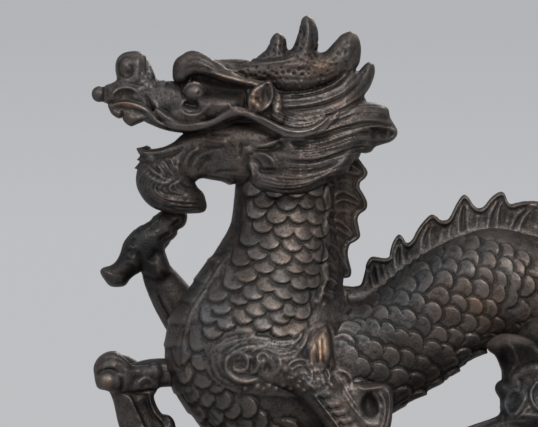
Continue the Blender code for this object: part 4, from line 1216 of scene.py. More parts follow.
    # scales straddle the plain skin; the belly's plates sit a little deeper
    low = np.abs(Q - math.pi)
    height = height - 0.50 + 0.95 * (1 - smooth(low, 0.7, 1.2)) * (1 - smooth(S / TRUNK_N, 0.15, 0.19))
    under_u = np.interp(u, [390, 425, 452, 466, 490, 510], [0.85, 0.55, 0.05, -0.75, -1.35, 0.0])
    height = height + under_u * bump(low, 1.5) * smooth(S / TRUNK_N, 0.26, 0.30) * (1 - smooth(S / TRUNK_N, 0.47, 0.50))
    p = base + N * height[:, :, None]
    p += N * (0.05 * noise(base, 1.1, 3) + 0.11 * noise(base, 3.2, 4))[:, :, None]
    verts = p.reshape(-1, 3)
    idx = np.arange(n * m).reshape(n, m)
    nxt = np.roll(idx, -1, axis=1)
    quads = np.stack([idx[:-1], nxt[:-1], nxt[1:], idx[1:]], axis=2).reshape(-1, 4)
    # closed ends
    caps = []
    for ring, last in ((idx[0], False), (idx[-1], True)):
        centre = len(verts)
        verts = np.vstack([verts, verts[ring].mean(axis=0)])
        a, b = ring, np.roll(ring, -1)
        tri = np.stack([np.full(m, centre), a, b, b], axis=1) if last else np.stack([np.full(m, centre), b, a, a], axis=1)
        caps.append(tri)
    nn = vertex_normals(verts, quads)
    if (nn[:n * m].reshape(n, m, 3) * N).sum(axis=2).mean() < 0:
        quads = quads[:, ::-1]
    own = {"tone_and_painted_light": np.append(shade * (1 - cover), [0, 0]), "hue": np.append(hue * (1 - cover), [0, 0])}
    return verts, quads, own


def smooth_band(u, v):
    """Plain strip between the throat's plates and the scales."""
    line = np.interp(v, [180, 225, 250, 262, 285, 300, 320, 345, 362, 400, 430, 450],
                     [252, 252, 243, 234, 220, 208, 199, 188, 180, 190, 205, 222])
    return u < line


def plate_field(S, Q, u, v):
    """Belly plates along the throat, chest and underside (mm)."""
    vent = tc - tup * ta[:, None]
    run = np.concatenate([[0], np.cumsum(np.linalg.norm(np.diff(vent, axis=0), axis=1))])
    start = run[int(np.argmin(np.hypot(*(np.array(sheet_of(vent)).T - (208, 262)).T)))]
    at = np.interp(S, np.arange(TRUNK_N), run) - start
    r = np.interp(S, np.arange(TRUNK_N), (ta + tw) / 2)
    pitch = np.interp(S, np.arange(TRUNK_N), 7.3 * np.clip((ta + tw) / 2 / 17.5, 0.22, 1.0))
    phase = np.interp(S, np.arange(TRUNK_N), np.concatenate([[0], np.cumsum(np.diff(run) / (7.3 * np.clip((ta + tw)[:-1] / 2 / 17.5, 0.22, 1.0)))]))
    phase = phase - np.interp(start, run, np.concatenate([[0], np.cumsum(np.diff(run) / (7.3 * np.clip((ta + tw)[:-1] / 2 / 17.5, 0.22, 1.0)))]))
    off = np.abs(Q - math.pi)
    # plates bow backwards away from the middle line
    bow = phase - 0.16 * (off / 0.7) ** 2
    f = bow - np.floor(bow)
    half = 0.60
    lateral = np.clip(1 - (off / half) ** 2, 0, 1)
    inside = 1 - smooth(off, half - 0.06, half + 0.02)
    tall = np.minimum(1.0, 0.06 * r)
    shape = (0.25 + 0.75 * f ** 1.4) * (1 - smooth(f, 0.90, 1.0)) + 0.25 * smooth(f, 0.9, 1.0)
    h = tall * (0.35 + 0.65 * shape) * inside * np.sqrt(np.clip(1 - (off / (half + 0.02)) ** 6, 0, 1))
    ridge = 0.40 * tall * bump(off - half - 0.03, 0.05)
    begin = smooth(phase, -0.4, 0.1)
    return (h + ridge) * begin


def folds(S, Q, u, v, near):
    """Creases beside the neck fin and slack skin at the crook (mm)."""
    out = np.zeros(S.shape)
    crest = np.minimum(Q, 2 * math.pi - Q)
    neck = (S < TRUNK_N * 10 / 29)
    w = bump(crest - 0.12, 0.20) * neck
    out += 0.32 * w * np.sin(u * 0.85 + 1.6 * np.sin(v * 0.09) + 0.04 * v)
    return out
# ---------------------------------------------------------------- head
# Outlines of the head's masses on the sheet
NOSE = [(117.5, 80), (116.3, 72), (116.3, 64), (118.5, 58), (123, 54.2), (130, 52.2), (137, 52), (142, 53.6), (146, 58), (149.5, 65),
        (153, 72.5), (157, 80.8), (167, 82), (170, 96), (163, 112), (150, 117), (140, 114), (128, 109), (114, 108), (108, 104),
        (103.5, 101), (104.5, 87.5), (112, 83.8)]
LIP_FRONT = [(110, 104), (130, 103), (150, 108), (162, 112), (187, 122), (187, 131.4), (174, 129.2), (164, 124.6), (156, 121.2), (149, 119.8),
             (142.5, 121.8), (136.5, 124.4), (132, 126.4), (129, 126), (125, 122.6), (122.4, 118.6), (118, 118.6), (113.2, 115.4), (110.2, 110.4)]
BROW = [(174.6, 82), (173, 74), (173.8, 66), (176.8, 60), (183, 55.8), (188, 52.9), (194, 52), (200, 53.2), (206, 56.2), (212, 60.2), (218, 65),
        (226, 69.5), (238, 75), (250, 79.5), (262, 85), (262, 90), (250, 89), (235, 87), (222, 84.5), (212, 81), (202, 77.5),
        (194, 76.8), (188, 79), (184, 83)]
ANTLER = [(236, 69), (250, 61), (255, 59), (260, 56), (266, 51), (269, 45), (271, 40), (273.4, 36.2), (277.4, 34), (281.6, 35.2), (285, 39.2), (286.6, 45),
          (287.6, 50.6), (291.4, 50.2), (294.2, 45.4), (297, 38), (299, 31), (300.2, 25), (302.2, 20), (305.4, 17.4), (309, 17.4), (313, 21), (316, 27), (317.8, 33),
          (318.2, 45), (317.4, 52.4), (323.6, 53), (328, 50), (332, 45.6), (336.4, 40.6), (340.4, 36.4), (345.4, 33.8), (350.6, 32.4), (354.6, 33.8), (357.6, 37.4),
          (359.8, 42.6), (360.8, 51), (360.2, 58), (358.8, 64.6), (354, 71), (344, 77), (334, 82), (322, 87), (312, 92), (300, 95.5), (285, 94.5), (275, 90), (268, 84),
          (250, 84), (240, 78)]
EAR = [(250, 111.5), (248, 104), (249, 97), (253, 91), (259, 87.4), (266, 84.6), (270.4, 83), (272.6, 88), (273, 96), (271, 103.5), (266.6, 110),
       (260, 114), (254, 114.4)]
MANE_TOP = [(268, 96), (300, 92), (328, 86), (343, 76), (353, 69), (356.4, 72.4), (359, 71.6), (363, 66.8), (367, 63.2), (370.4, 62.4), (373.6, 64.6),
            (375, 70), (374, 77), (371, 84.6), (367.6, 91), (364.4, 95.6), (366, 101), (364, 112), (345, 124), (305, 130), (275, 118)]
MANE_MID = [(286, 112), (330, 110), (352, 103), (366, 103), (377.5, 103.4), (384.6, 106.2), (388.4, 110.2), (390, 117.6), (394, 124.4), (397, 130.4),
            (396.2, 136), (391.4, 141), (383.4, 144.2), (375, 147), (371.4, 151.6), (366, 153.2), (358.4, 152), (353, 156), (342, 166), (320, 174), (290, 174),
            (278, 150)]
MANE_LOW = [(252, 150), (300, 148), (345, 150), (354.5, 156.5), (350, 166), (346, 173.5), (336, 178), (320, 187), (302, 194), (282, 196), (262, 192),
            (251, 184), (247, 170)]
BEARD_MASS = [(160, 155), (149, 158), (140.5, 163), (137, 172), (136.3, 182), (139.6, 192), (146.6, 202.4), (155, 208.6), (163.4, 211), (175, 213), (200, 213.2),
              (206.4, 208.6), (206.2, 201.6), (203.4, 193), (198.4, 188), (195, 182), (194, 172), (190, 160), (174, 153)]
JAW_FRONT = [(137.4, 148.4), (146, 149.4), (156, 149), (166, 146.6), (175, 141.6), (183.4, 134.4), (196, 128), (226, 126), (236, 150), (233.5, 183.4), (222, 180.6),
             (208, 178.2), (198.5, 179.2), (194.5, 182), (184, 180), (168, 172), (150, 168), (140, 163), (141.4, 157), (138.4, 153)]
JAW_BACK = [(200, 132), (222, 122), (262, 124), (286, 140), (286, 170), (262, 184), (246, 186), (233.5, 183.6), (222, 180.8), (208, 178.4), (198, 170), (196, 148)]
# Guides that the mane's strands follow, upper to lower
GUIDES_TOP = [
    [(276, 97), (300, 96), (320, 91), (338, 82), (350, 71), (355, 60)],
    [(277, 101), (300, 100), (322, 95.5), (340, 87), (352, 76), (358, 72)],
    [(279, 105), (302, 103.5), (322, 99.5), (341, 91), (355, 79), (364, 68)],
    [(281, 109.5), (303, 108), (324, 104), (343, 95.5), (357, 83), (368, 65)],
    [(283, 113.5), (305, 112), (325, 108), (345, 99), (359, 87), (369, 74), (372, 66)],
    [(286, 117.5), (307, 116), (327, 112), (347, 103), (361, 92), (370, 80), (374, 70)],
    [(292, 121), (310, 119), (329, 115.5), (349, 106.5), (362, 97), (368, 88), (372, 80)],
]
GUIDES_MID = [
    [(332, 116), (346, 110), (358, 105.5), (370, 105.5), (381, 107), (387, 111)],
    [(328, 121), (345, 114.5), (359, 110.5), (371, 110), (382, 111.5), (388, 115)],
    [(324, 126), (343, 119), (359, 115), (372, 114.5), (383, 116), (389.5, 120)],
    [(320, 131), (341, 124), (359, 119.5), (373, 119), (384, 120.5), (391.5, 125)],
    [(312, 137), (336, 131), (356, 124.5), (372, 123), (386, 124.5), (394, 129)],
]
GUIDES_LOW = [
    [(300, 143), (322, 140), (344, 133.5), (360, 129.5), (374, 127), (388, 128)],
    [(290, 148), (316, 147), (340, 139.5), (358, 135), (370, 136)],
    [(287, 153.5), (315, 153), (340, 146), (358, 140), (372, 141), (388, 142)],
    [(285, 158.5), (313, 159), (338, 152), (354, 146.5), (368, 146), (380, 144.5)],
    [(283, 163.5), (310, 164.5), (334, 158.5), (350, 152), (362, 149.5), (371, 149.5)],
    [(281, 169), (306, 170), (330, 164.5), (345, 158), (354, 154)],
    [(279, 174.5), (301, 175.5), (323, 170.5), (339, 164), (350, 159)],
    [(262, 178), (282, 181.5), (303, 180.5), (321, 175), (336, 168.5), (348, 165)],
    [(256, 182.5), (272, 187), (290, 188), (305, 185.5), (320, 179), (335, 172.5), (346, 171)],
    [(258, 188), (274, 192.5), (291, 194), (306, 190.5), (319, 184.5), (332, 177.5), (340, 175.5)],
]
GUIDES_WHISKER = [
    [(272, 110), (284, 116.5), (297, 120), (310, 119), (320, 115), (329, 109)],
    [(266, 112.5), (278, 119.5), (292, 124.6), (305, 124.6), (317, 120.5), (328, 113)],
    [(258, 114.5), (271, 121.6), (286, 128.6), (300, 130.2), (313, 127), (323, 120.5), (332, 112)],
    [(254, 118), (268, 125), (284, 132.6), (299, 134.6), (314, 131.5), (325, 124), (334, 115)],
]
LIP_EDGE = [(146, 112.5, -7.6), (154, 118.5, -8.8), (164, 123.8, -10.0), (176, 127.6, -11.0), (190, 129.0, -12.0), (204, 126.8, -12.8),
            (217, 121.8, -13.6), (228, 116.5, -14.3), (239, 113.8, -15.0), (249, 115.4, -15.6), (260, 121, -16.2), (272, 127.6, -16.7),
            (284, 133.2, -17.2), (296, 136, -17.6), (308, 135, -17.6), (320, 128.6, -17.2), (330, 120, -16.8), (336, 114.5, -16.4)]
GUIDES_BEARD = [
    [(150, 166), (142, 174), (139, 184), (142.5, 194), (150, 203), (162, 209), (180, 211.5), (200, 211.5)],
    [(156, 172), (147, 180), (145, 188), (149, 197), (160, 204.5), (176, 208.5), (196, 209.5), (204, 209)],
    [(162, 178), (153, 184), (151.5, 190), (156, 196.5), (168, 202), (184, 205.5), (204, 205.5)],
    [(170, 182), (161, 187), (159.5, 191), (165, 195), (178, 199), (192, 202), (205, 202)],
    [(178, 182), (171, 187), (171, 190), (178, 193.5), (190, 196.5), (203, 197)],
    [(186, 178), (181, 184), (182, 188), (188, 190.5), (199, 191)],
]


def rows(points, radii):
    """Rows (u, v, y, r) with radii spread along the points."""
    radii = np.interp(np.linspace(0, 1, len(points)), np.linspace(0, 1, len(radii)), radii)
    return [(*p, r) for p, r in zip(points, radii)]


def head_art():
    """Everything carved on the cheek, brow, nose, horn, mane and beard."""
    art = Sheet(84, 8, 410, 226)
    line, lines, dot = art.line, art.lines, art.dot
    # hair first, so that the rest is cut over it
    art.locks(GUIDES_TOP, 2, 1.55, 0.62, 1)
    art.locks(GUIDES_MID, 2, 1.6, 0.55, 2)
    art.locks(GUIDES_LOW, 2, 1.6, 0.62, 3)
    art.locks(GUIDES_WHISKER, 2, 1.5, 0.66, 4)
    art.locks(GUIDES_BEARD, 2, 1.35, 0.5, 5)
    # deeper partings between the locks
    lines([[(283, 111.5), (304, 110), (324, 106.4), (344, 97.4), (358, 85), (366, 74)],
           [(300, 139.6), (322, 135.5), (342, 128.6), (357, 127)],
           [(284, 161.6), (312, 162.4), (336, 155.6), (352, 149.6)],
           [(280, 172), (304, 173), (326, 168), (342, 161)],
           [(258, 185.6), (274, 190), (292, 190.8), (306, 188), (320, 181.4), (334, 175)],
           [(277, 99), (300, 97.6), (320, 93.4), (338, 84.6), (350, 73.6)]], 1.5, -0.55)
    lines([[(288, 142.5), (302, 144.4), (318, 139.4), (332, 135)]], 3.0, -0.85)
    lines([[(334, 118), (350, 110), (362, 100), (366, 96)], [(340, 121.5), (354, 115), (366, 112.4)],
           [(333, 86), (345, 78), (352, 68)], [(360, 77), (366, 70)]], 1.4, -0.35)
    # curled end of the mane
    line([(352, 132), (364, 128.6), (378, 127.6), (390, 129.6), (394.6, 134), (390.6, 139.4), (380, 142)], 1.7, 0.65)
    line([(369, 134.6), (378, 134), (388, 135)], 4.0, -0.85)
    # nose
    line([(139.2, 57), (138.8, 65), (137.6, 74), (135.6, 83)], 3.9, 0.75)
    line([(145.6, 57.5), (146.2, 65), (147, 74)], 1.4, -0.6)
    line([(149.6, 64), (151.4, 72), (154.4, 79)], 1.7, 0.35)
    line([(133.4, 60), (127.4, 57.6), (121.6, 61), (119.6, 68), (121, 75.4), (126.4, 79.4), (131.4, 77.4), (132.8, 71), (129.6, 66), (125.4, 68)], 1.3, -0.42)
    dot(126, 67, 3.4, 0.45)
    dot(129, 74, 3.0, -0.55)
    line([(120, 83), (128, 84), (137, 86.4), (146, 87)], 1.8, -0.4)
    speckle(art, lambda u, v: (u - 150) ** 2 / 60 + (v - 80) ** 2 / 90 < 1, 138, 68, 162, 92, 3.6, 1.15, lambda u, v, p: 0.35 * p, 31)
    speckle(art, lambda u, v: (u - 131) ** 2 / 160 + (v - 82) ** 2 / 20 < 1, 116, 76, 146, 88, 3.8, 1.2, lambda u, v, p: 0.28 * p, 33)
    dot(126, 95.4, 6.6, -0.95, 3.8)
    line([(114.6, 104), (113.4, 97.4), (117, 91.2), (125, 88.6), (133, 89.8), (139.4, 94.4), (142.8, 101.6)], 1.7, 0.7)
    dot(136.6, 98.4, 2.8, 0.35)
    line([(112, 107.4), (119, 104.2), (129, 103.8), (138, 106.4), (146, 110.4), (153.4, 116)], (1.5, 2.0, 2.0, 1.6), 0.8)
    line([(116, 109.6), (126, 109.4), (135, 111.2), (144, 115), (151, 119)], 2.2, -0.4)
    line([(112, 112.4), (118, 113.6), (122.6, 115)], 1.4, 0.35)
    line([(122.6, 111), (123.4, 119)], 1.3, -0.7)
    line([(128, 117), (134, 119.4), (142, 118.4)], 2.4, 0.35)
    line([(145.4, 93), (148.8, 102), (152.4, 110), (158.4, 118), (166, 125), (176, 129.4)], 1.9, (-0.9, -1.0, -0.8, -0.5))
    line([(152, 97), (156.4, 106), (163, 114.6), (172, 121.4), (184, 125.2), (197, 124.8), (210, 121)], 2.0, 0.42)
    line([(107.6, 87), (108.4, 94), (108.4, 101)], 1.6, -0.3)
    # bridge
    line([(158, 88), (168, 90), (178, 92)], 3.0, 0.3)
    line([(152, 86), (164, 86.4), (176, 86.6)], 1.4, -0.2)
    # eye socket and cheek
    line([(190, 82), (206, 86.6), (226, 90.6), (248, 92.6)], (7.0, 8.6, 7.6, 5.0), (-1.6, -2.6, -2.4, -1.4), ends=(0.1, 0.1))
    line([(180.4, 84), (184.4, 92), (186, 101)], 2.4, -0.7)
    line([(184.6, 102.6), (188, 105.6), (194, 107.0), (200.4, 105)], 3.6, -1.2)
    line([(188, 90), (186.6, 96), (188.4, 101)], 1.4, -0.4)
    line([(178.6, 106), (182.6, 112.4), (190, 116), (199, 115.4), (206.4, 109.4), (209, 101)], 1.8, 0.5)
    line([(184, 112), (190, 113.6), (198, 112.8)], 1.2, -0.35)
    line([(212, 107), (226, 106), (241, 105)], 8.0, 0.75)
    line([(245.4, 92), (245.8, 101), (244.4, 110.6)], 1.5, -0.8)
    line([(228.4, 103), (230.6, 107), (232, 110)], 1.2, 0.3)
    line([(186, 122), (198, 121.4), (208, 117)], 4.0, 0.35)
    # brow
    line([(208, 72.4), (216, 75.4), (226, 79), (238, 82), (251, 85.6)], (1.8, 2.8, 3.2, 2.6), 1.05)
    line([(183, 71.4), (194, 68.2), (206, 70), (216, 74)], 1.3, -0.28)
    line([(186, 63.6), (196, 61.4), (207, 64.6), (216, 69.4)], 1.2, -0.24)
    line([(190, 57), (200, 57.4), (208, 60.6)], 1.1, -0.2)
    line([(214, 60.6), (220, 65), (226, 69)], 1.5, 0.28)
    line([(224, 71.8), (236, 74.4), (248, 77.4)], 1.4, -0.4)
    line([(226, 73.2), (238, 71.4), (249, 69.4)], 1.6, 0.3)
    lines([[(222, 62.6), (240, 63.6), (262, 64.6)], [(230, 66.6), (246, 67.4), (262, 68)]], 1.2, -0.22)
    # horn
    on_horn = inside_of(ANTLER)
    # first tine close-pitted, the others nearly smooth, a row of punched pits along the beam
    speckle(art, lambda u, v: on_horn(u, v) and u < 290 and 37 < v < 61, 256, 37, 290, 61, 4.3, 1.0, lambda u, v, p: -0.45 if p < 0.55 else 0.2 * p, 41)
    speckle(art, lambda u, v: on_horn(u, v) and abs(u - 308) > 4, 298, 20, 318, 60, 5.4, 1.1, lambda u, v, p: -0.45 if p < 0.6 else 0.15, 43)
    speckle(art, lambda u, v: on_horn(u, v) and 54 < v < 80, 296, 54, 346, 80, 5.4, 1.2, lambda u, v, p: -0.4 if p < 0.4 else 0.25 * p, 45)
    speckle(art, lambda u, v: (u - 347) ** 2 / 40 + (v - 46) ** 2 / 50 < 1, 338, 38, 356, 56, 3.6, 1.2, lambda u, v, p: 0.7 * (p - 0.4), 47)
    speckle(art, lambda u, v: on_horn(u, v) and v > 79.5, 246, 80, 344, 96, 5.2, 1.2, lambda u, v, p: 0.45 * p, 49)
    for pu, pv, pr in ((246, 78.4, 1.2), (251, 77.2, 1.5), (255.4, 77.4, 1.5), (259.6, 74.2, 0.9), (264.4, 75.4, 1.4), (268.4, 77.6, 1.5), (272.4, 73.2, 0.9), (276.4, 75.2, 1.6),
                       (282.6, 74.2, 1.5), (288.4, 73, 1.5), (293.4, 75, 1.2), (256, 69.4, 0.9), (281, 69.2, 0.9), (299, 70.6, 1.4), (302, 76, 1.3), (247.6, 72, 0.9), (268, 70, 0.8)):
        dot(pu, pv, pr, -0.9)
    line([(240, 66.8), (252, 65.4), (264, 65), (278, 63.8), (290, 61), (297, 56)], 1.5, 0.5)
    line([(238, 63.6), (252, 62), (266, 61.6), (280, 60.4), (290, 57)], 1.3, -0.45)
    line([(242, 69.6), (258, 68.6), (276, 67.6), (292, 66.4), (306, 68)], 2.6, 0.3)
    line([(244, 80.6), (262, 80.4), (282, 80), (304, 80.6), (326, 77), (344, 68)], 1.8, -0.3)
    lines([[(300, 56), (302.6, 40), (305, 26)], [(312, 54), (312.6, 40), (311, 26)],
           [(330, 66), (340, 54), (348, 42)], [(343, 70), (351, 58), (356, 46)]], 1.7, -0.22)
    # ear
    dot(265.6, 96.6, 4.6, -1.7, 9.0)
    line([(250, 111), (248.8, 101), (252.8, 93.4), (260, 88.6), (268.2, 84.4), (272.4, 91), (272, 100), (268, 107.6), (260.4, 112.6)], 1.8, 0.55, ends=(0, 0))
    dot(268, 84.4, 2.6, 0.9, 1.8)
    dot(254, 96.6, 2.6, 1.2)
    dot(253.6, 103.4, 3.0, 1.3)
    dot(258.6, 107.6, 3.2, 1.2)
    dot(258.8, 100.6, 1.4, -0.7)
    dot(256.4, 99.8, 1.0, -0.6)
    # tuft behind the ear
    speckle(art, lambda u, v: (u - 277.6) ** 2 / 22 + (v - 106) ** 2 / 170 < 1, 268, 92, 286, 120, 3.2, 1.2, lambda u, v, p: 1.0 * (p - 0.35), 51)
    # upper jaw, mouth and jaw
    line([(206, 139.4), (217, 142.4), (229, 142.8)], 1.7, 0.4)
    line([(208, 134.4), (219, 135.4), (231, 136)], 1.5, -0.35)
    line([(203, 148.6), (215, 148.4), (227, 147.6)], 1.5, -0.4)
    line([(184.4, 170), (187, 161), (192.6, 153), (201, 148.4)], (2.6, 2.4, 1.8), 0.65)
    line([(191.6, 171), (196, 162), (203, 155.6), (213, 152)], 1.9, 0.42)
    line([(197.6, 173), (203, 164), (212, 158.4)], 1.7, -0.3)
    line([(138.6, 151.4), (147, 152.4), (157, 152), (168, 149.2), (178, 143.6)], 2.0, 0.5)
    line([(148, 158.6), (160, 157.4), (174, 154), (186, 147)], 2.4, -0.75)
    line([(143, 172), (151, 178), (160, 182.4), (170, 182.4), (178, 176)], 1.8, 0.62)
    lines([[(162, 158.6), (167, 165), (172, 172), (175, 178)], [(157, 163), (162.6, 170), (168, 177)], [(152, 168), (159, 175), (167, 179.6), (175, 178.6)],
           [(170, 157.6), (173.4, 164), (176.4, 171)], [(148, 164), (152, 170), (157, 176)], [(178, 160), (178, 167), (180, 174)]], 1.5, 0.62)
    lines([[(159.6, 164.6), (165, 172), (170, 177)], [(154.6, 166), (161, 173.6)], [(167, 162), (171, 169), (174, 175)]], 1.2, -0.45)
    lines([[(166, 199), (184, 201.4), (203, 202)], [(166, 203.6), (186, 206), (204, 206)], [(172, 208), (190, 209.6), (203, 209.4)]], 1.2, 0.5)
    lines([[(152, 186), (160, 191), (172, 194.6), (190, 195.6)], [(180, 183), (186, 186.6), (196, 188)]], 1.4, -0.4)
    line([(214, 172.5), (228, 171), (240, 171.5)], 1.4, -0.4)
    line([(205, 176), (218, 176.6), (232, 179.6)], 1.8, 0.3)
    # frill behind the cheek
    line([(245.5, 146), (248.5, 155)], 5.4, 0.6)
    line([(241, 142), (241, 150), (240, 159)], 1.4, -0.6)
    line([(252, 148), (264, 146), (276, 142), (287, 137.8)], (3.6, 3.0, 2.2), 0.85)
    line([(254, 153), (264, 154.6), (272, 160.6), (276, 170)], (3.0, 2.6, 1.8), 0.8)
    line([(248, 161), (251, 168), (254, 180)], (3.0, 2.4, 1.6), 0.75)
    line([(254, 149.6), (266, 150.4), (279, 149)], 1.9, -0.75)
    line([(252, 158), (259, 164), (263, 174)], 1.9, -0.75)
    dot(268.4, 171.4, 7.6, -1.5, 3.0)
    line([(246, 184), (250, 176), (248, 168)], 1.6, -0.4)
    # strands of the mane are cut deeper than the face
    U, V = np.meshgrid(art.u0 + art.step * np.arange(art.h.shape[1]), art.v0 + art.step * np.arange(art.h.shape[0]))
    art.h *= (1 + 0.35 * smooth(U, 276, 290) * smooth(V, 84, 94)).astype(np.float32)
    return art


def build_head():
    h = 0.35
    lo = P(88, 222, 0) + np.array([0, -21.5, 0])
    hi = P(402, 12, 0) + np.array([0, 21.5, 0])
    F = Field(lo, hi, h)
    keep = {"cranium": 0.97, "crown": 0.95, "cheek": 0.9, "muzzle": 0.98, "upper_jaw": 0.95, "jaw": 0.94, "tongue": 1.0, "mane_back": 0.9}
    for name, pair_, flat, chain in HEAD:
        if name in keep:
            F.sheet_chain([(u, v, y, r * keep[name]) for u, v, y, r in chain], flat, 1.0)
    both = (False, True)

    def pair(chain, flat=1.0, k=0.5, cut=False):
        for mirror in both:
            F.sheet_chain(chain, flat, k, cut, mirror=mirror)

    def pball(u, v, y, ru, rv, ry, k=0.5, cut=False, turn=0.0):
        for mirror in both:
            F.sheet_ball(u, v, y, ru, rv, ry, k, cut, turn, mirror)

    # neck plug under the jaw and the mane
    F.sheet_chain([(292, 150, 0, 40), (290, 180, 0, 44), (289, 200, 0, 43)], 1.02, 1.5)
    # face
    F.sheet_chain([(150, 96, 0, 13), (165, 97, 0, 15), (185, 98, 0, 17)], 1.75, 1.0)
    pball(190, 116, -8.0, 22, 13, 4.9, 1.0)
    pball(222, 107, -10.0, 28, 15, 4.6, 1.0)
    pball(197, 99, -8.0, 15, 15, 3.4, 0.8)
    slab(F, NOSE, 0, 7.6, 4.4, 0.5)
    F.sheet_ball(99.6, 94.6, 0, 7.7, 8.0, 2.7, 0.3)
    F.sheet_chain([(103, 95, 0, 6.8), (110, 95.5, 0, 8.6), (118, 95, 0, 10)], 1.25, 0.4)
    slab(F, LIP_FRONT, [(110, -4.8), (130, -6.4), (187, -9.4)], 2.3, 1.5, 0.4, pair=True)
    F.sheet_chain([(116, 108, 0, 6.5), (128, 112, 0, 8), (142, 113, 0, 7), (156, 116, 0, 8)], 2.2, 0.8)
    # brow, ear, horn
    slab(F, BROW, [(176, -5.6), (200, -8.4), (230, -10.8), (262, -12.6)], [(176, 4.2), (200, 5.0), (262, 2.6)], 3.0, 0.5, pair=True)
    F.sheet_ball(186, 70, 0, 9, 12, 5.0, 1.2)
    slab(F, ANTLER, [(236, -5.0), (262, -7.4), (360, -8.2)], [(236, 4.6), (262, 5.6), (300, 6.2), (330, 5.6), (360, 4.2)], 4.8, 0.5, pair=True)
    slab(F, EAR, -14.6, 2.4, 1.5, 0.4, pair=True)
    pair([(274.6, 95, -13.4, 4.0), (276.6, 104, -14.0, 5.0), (277, 113, -14.2, 5.2), (279, 119, -14.0, 4.6)], 1, 0.8)
    # mane
    slab(F, MANE_TOP, [(268, -8.0), (345, -7.0), (375, -4.4)], [(268, 6.6), (345, 6.2), (375, 4.0)], 4.6, 0.6, pair=True)
    slab(F, MANE_MID, [(278, -8.2), (350, -7.6), (397, -5.2)], [(278, 7.4), (350, 7.2), (397, 4.8)], 5.0, 0.6, pair=True)
    slab(F, MANE_LOW, [(247, -7.0), (300, -7.6), (354, -7.2)], [(247, 6.2), (300, 8.9), (354, 7.2)], 3.0, 0.6, pair=True)
    # jaw and beard
    slab(F, JAW_FRONT, 0, [(138, 4.6), (160, 7.2), (200, 8.6), (236, 10.2)], 4.4, 0.6)
    slab(F, JAW_BACK, 0, [(196, 8.8), (222, 10.6), (262, 12.6), (286, 13.4)], 6.0, 0.8)
    slab(F, BEARD_MASS, 0, [(136, 6.0), (160, 8.6), (190, 7.0), (206, 4.0)], 5.6, 0.5)
    for su, sv, tu, tv in ((142, 158.6, 137.6, 160), (141.5, 165, 135.2, 168.6), (143, 150, 137.2, 149)):
        F.sheet_chain([(su + 4, sv, 0, 4.5), (su, sv, 0, 3.0), (tu, tv, 0, 0.8)], 1.8, 0.4)
    F.sheet_chain([(214, 141, 0, 11), (198, 143, 0, 8.5), (188, 144.5, 0, 6)], 1.25, 0.5)
    # lip: one rolled edge from the fang to the whisker
    pair(rows(LIP_EDGE, (2.2, 3.3, 3.3, 3.3, 3.4, 3.6, 3.8, 3.4, 2.2)), 1, 0.4)
    pair([(224, 117, -13.9, 1.8), (233, 111.8, -14.6, 2.2), (244, 110.4, -15.2, 2.4), (254, 113.4, -15.6, 2.2)], 1, 0.35)
    engrave(F, head_art())
    # eye
    y = F_near(F, 196.6, 94.6)
    pball(195.4, 93.4, y + 1.2, 11.4, 9.8, 3.4, 0.35)
    pball(199.6, 95.0, y - 1.9, 2.2, 2.6, 0.35, 0.1, True)
    pair([(183.4, 93.4, y + 1.0, 1.2), (187.0, 87.0, y + 0.1, 1.3), (194.6, 83.6, y - 0.5, 1.35), (202.4, 86.0, y - 0.3, 1.3), (206.4, 92.0, y + 0.3, 1.1)], 1, 0.6)
    v, f = F.skin()
    v, f = biggest(v, f)
    return v, f


def F_near(F, u, v):
    """y (mm) where the near face of the field's shape lies behind (u, v)."""
    x, z = (u - U_MID) * SHEET, (V_BASE - v) * SHEET
    k = int(round((z - F.lo[2]) / F.h))
    for j in range(F.n[1]):
        y = F.lo[1] + j * F.h
        i = int(round((x + y * SKEW - F.lo[0]) / F.h))
        if 0 <= i < F.n[0] and 0 <= k < F.n[2] and F.f[i, j, k] < 0:
            return y
    return 0.0


# ---------------------------------------------------------------- limbs
def limb_field(chains, h, pad=9.0):
    pts = np.vstack([[[*P(u, v, y), r * SHEET] for u, v, y, r in c] for c in chains])
    lo = (pts[:, :3] - pts[:, 3:]).min(0) - pad * 0.35
    hi = (pts[:, :3] + pts[:, 3:]).max(0) + pad * 0.35
    return Field(lo, hi, h)


def claws(F, digits, k=0.5):
    for chain in digits:
        F.sheet_chain(chain, 1.0, k)


def nail(F, base, tip, r, k=0.25):
    """Curved claw from base to tip, both (u, v, y)."""
    b, t = np.array(base, float), np.array(tip, float)
    mid = (b + t) / 2 + np.array([(b[1] - t[1]) * 0.18, (t[0] - b[0]) * 0.18, 0])
    F.sheet_chain([(*b, r), (*mid, r * 0.8), (*t, r * 0.25)], 1.0, k)


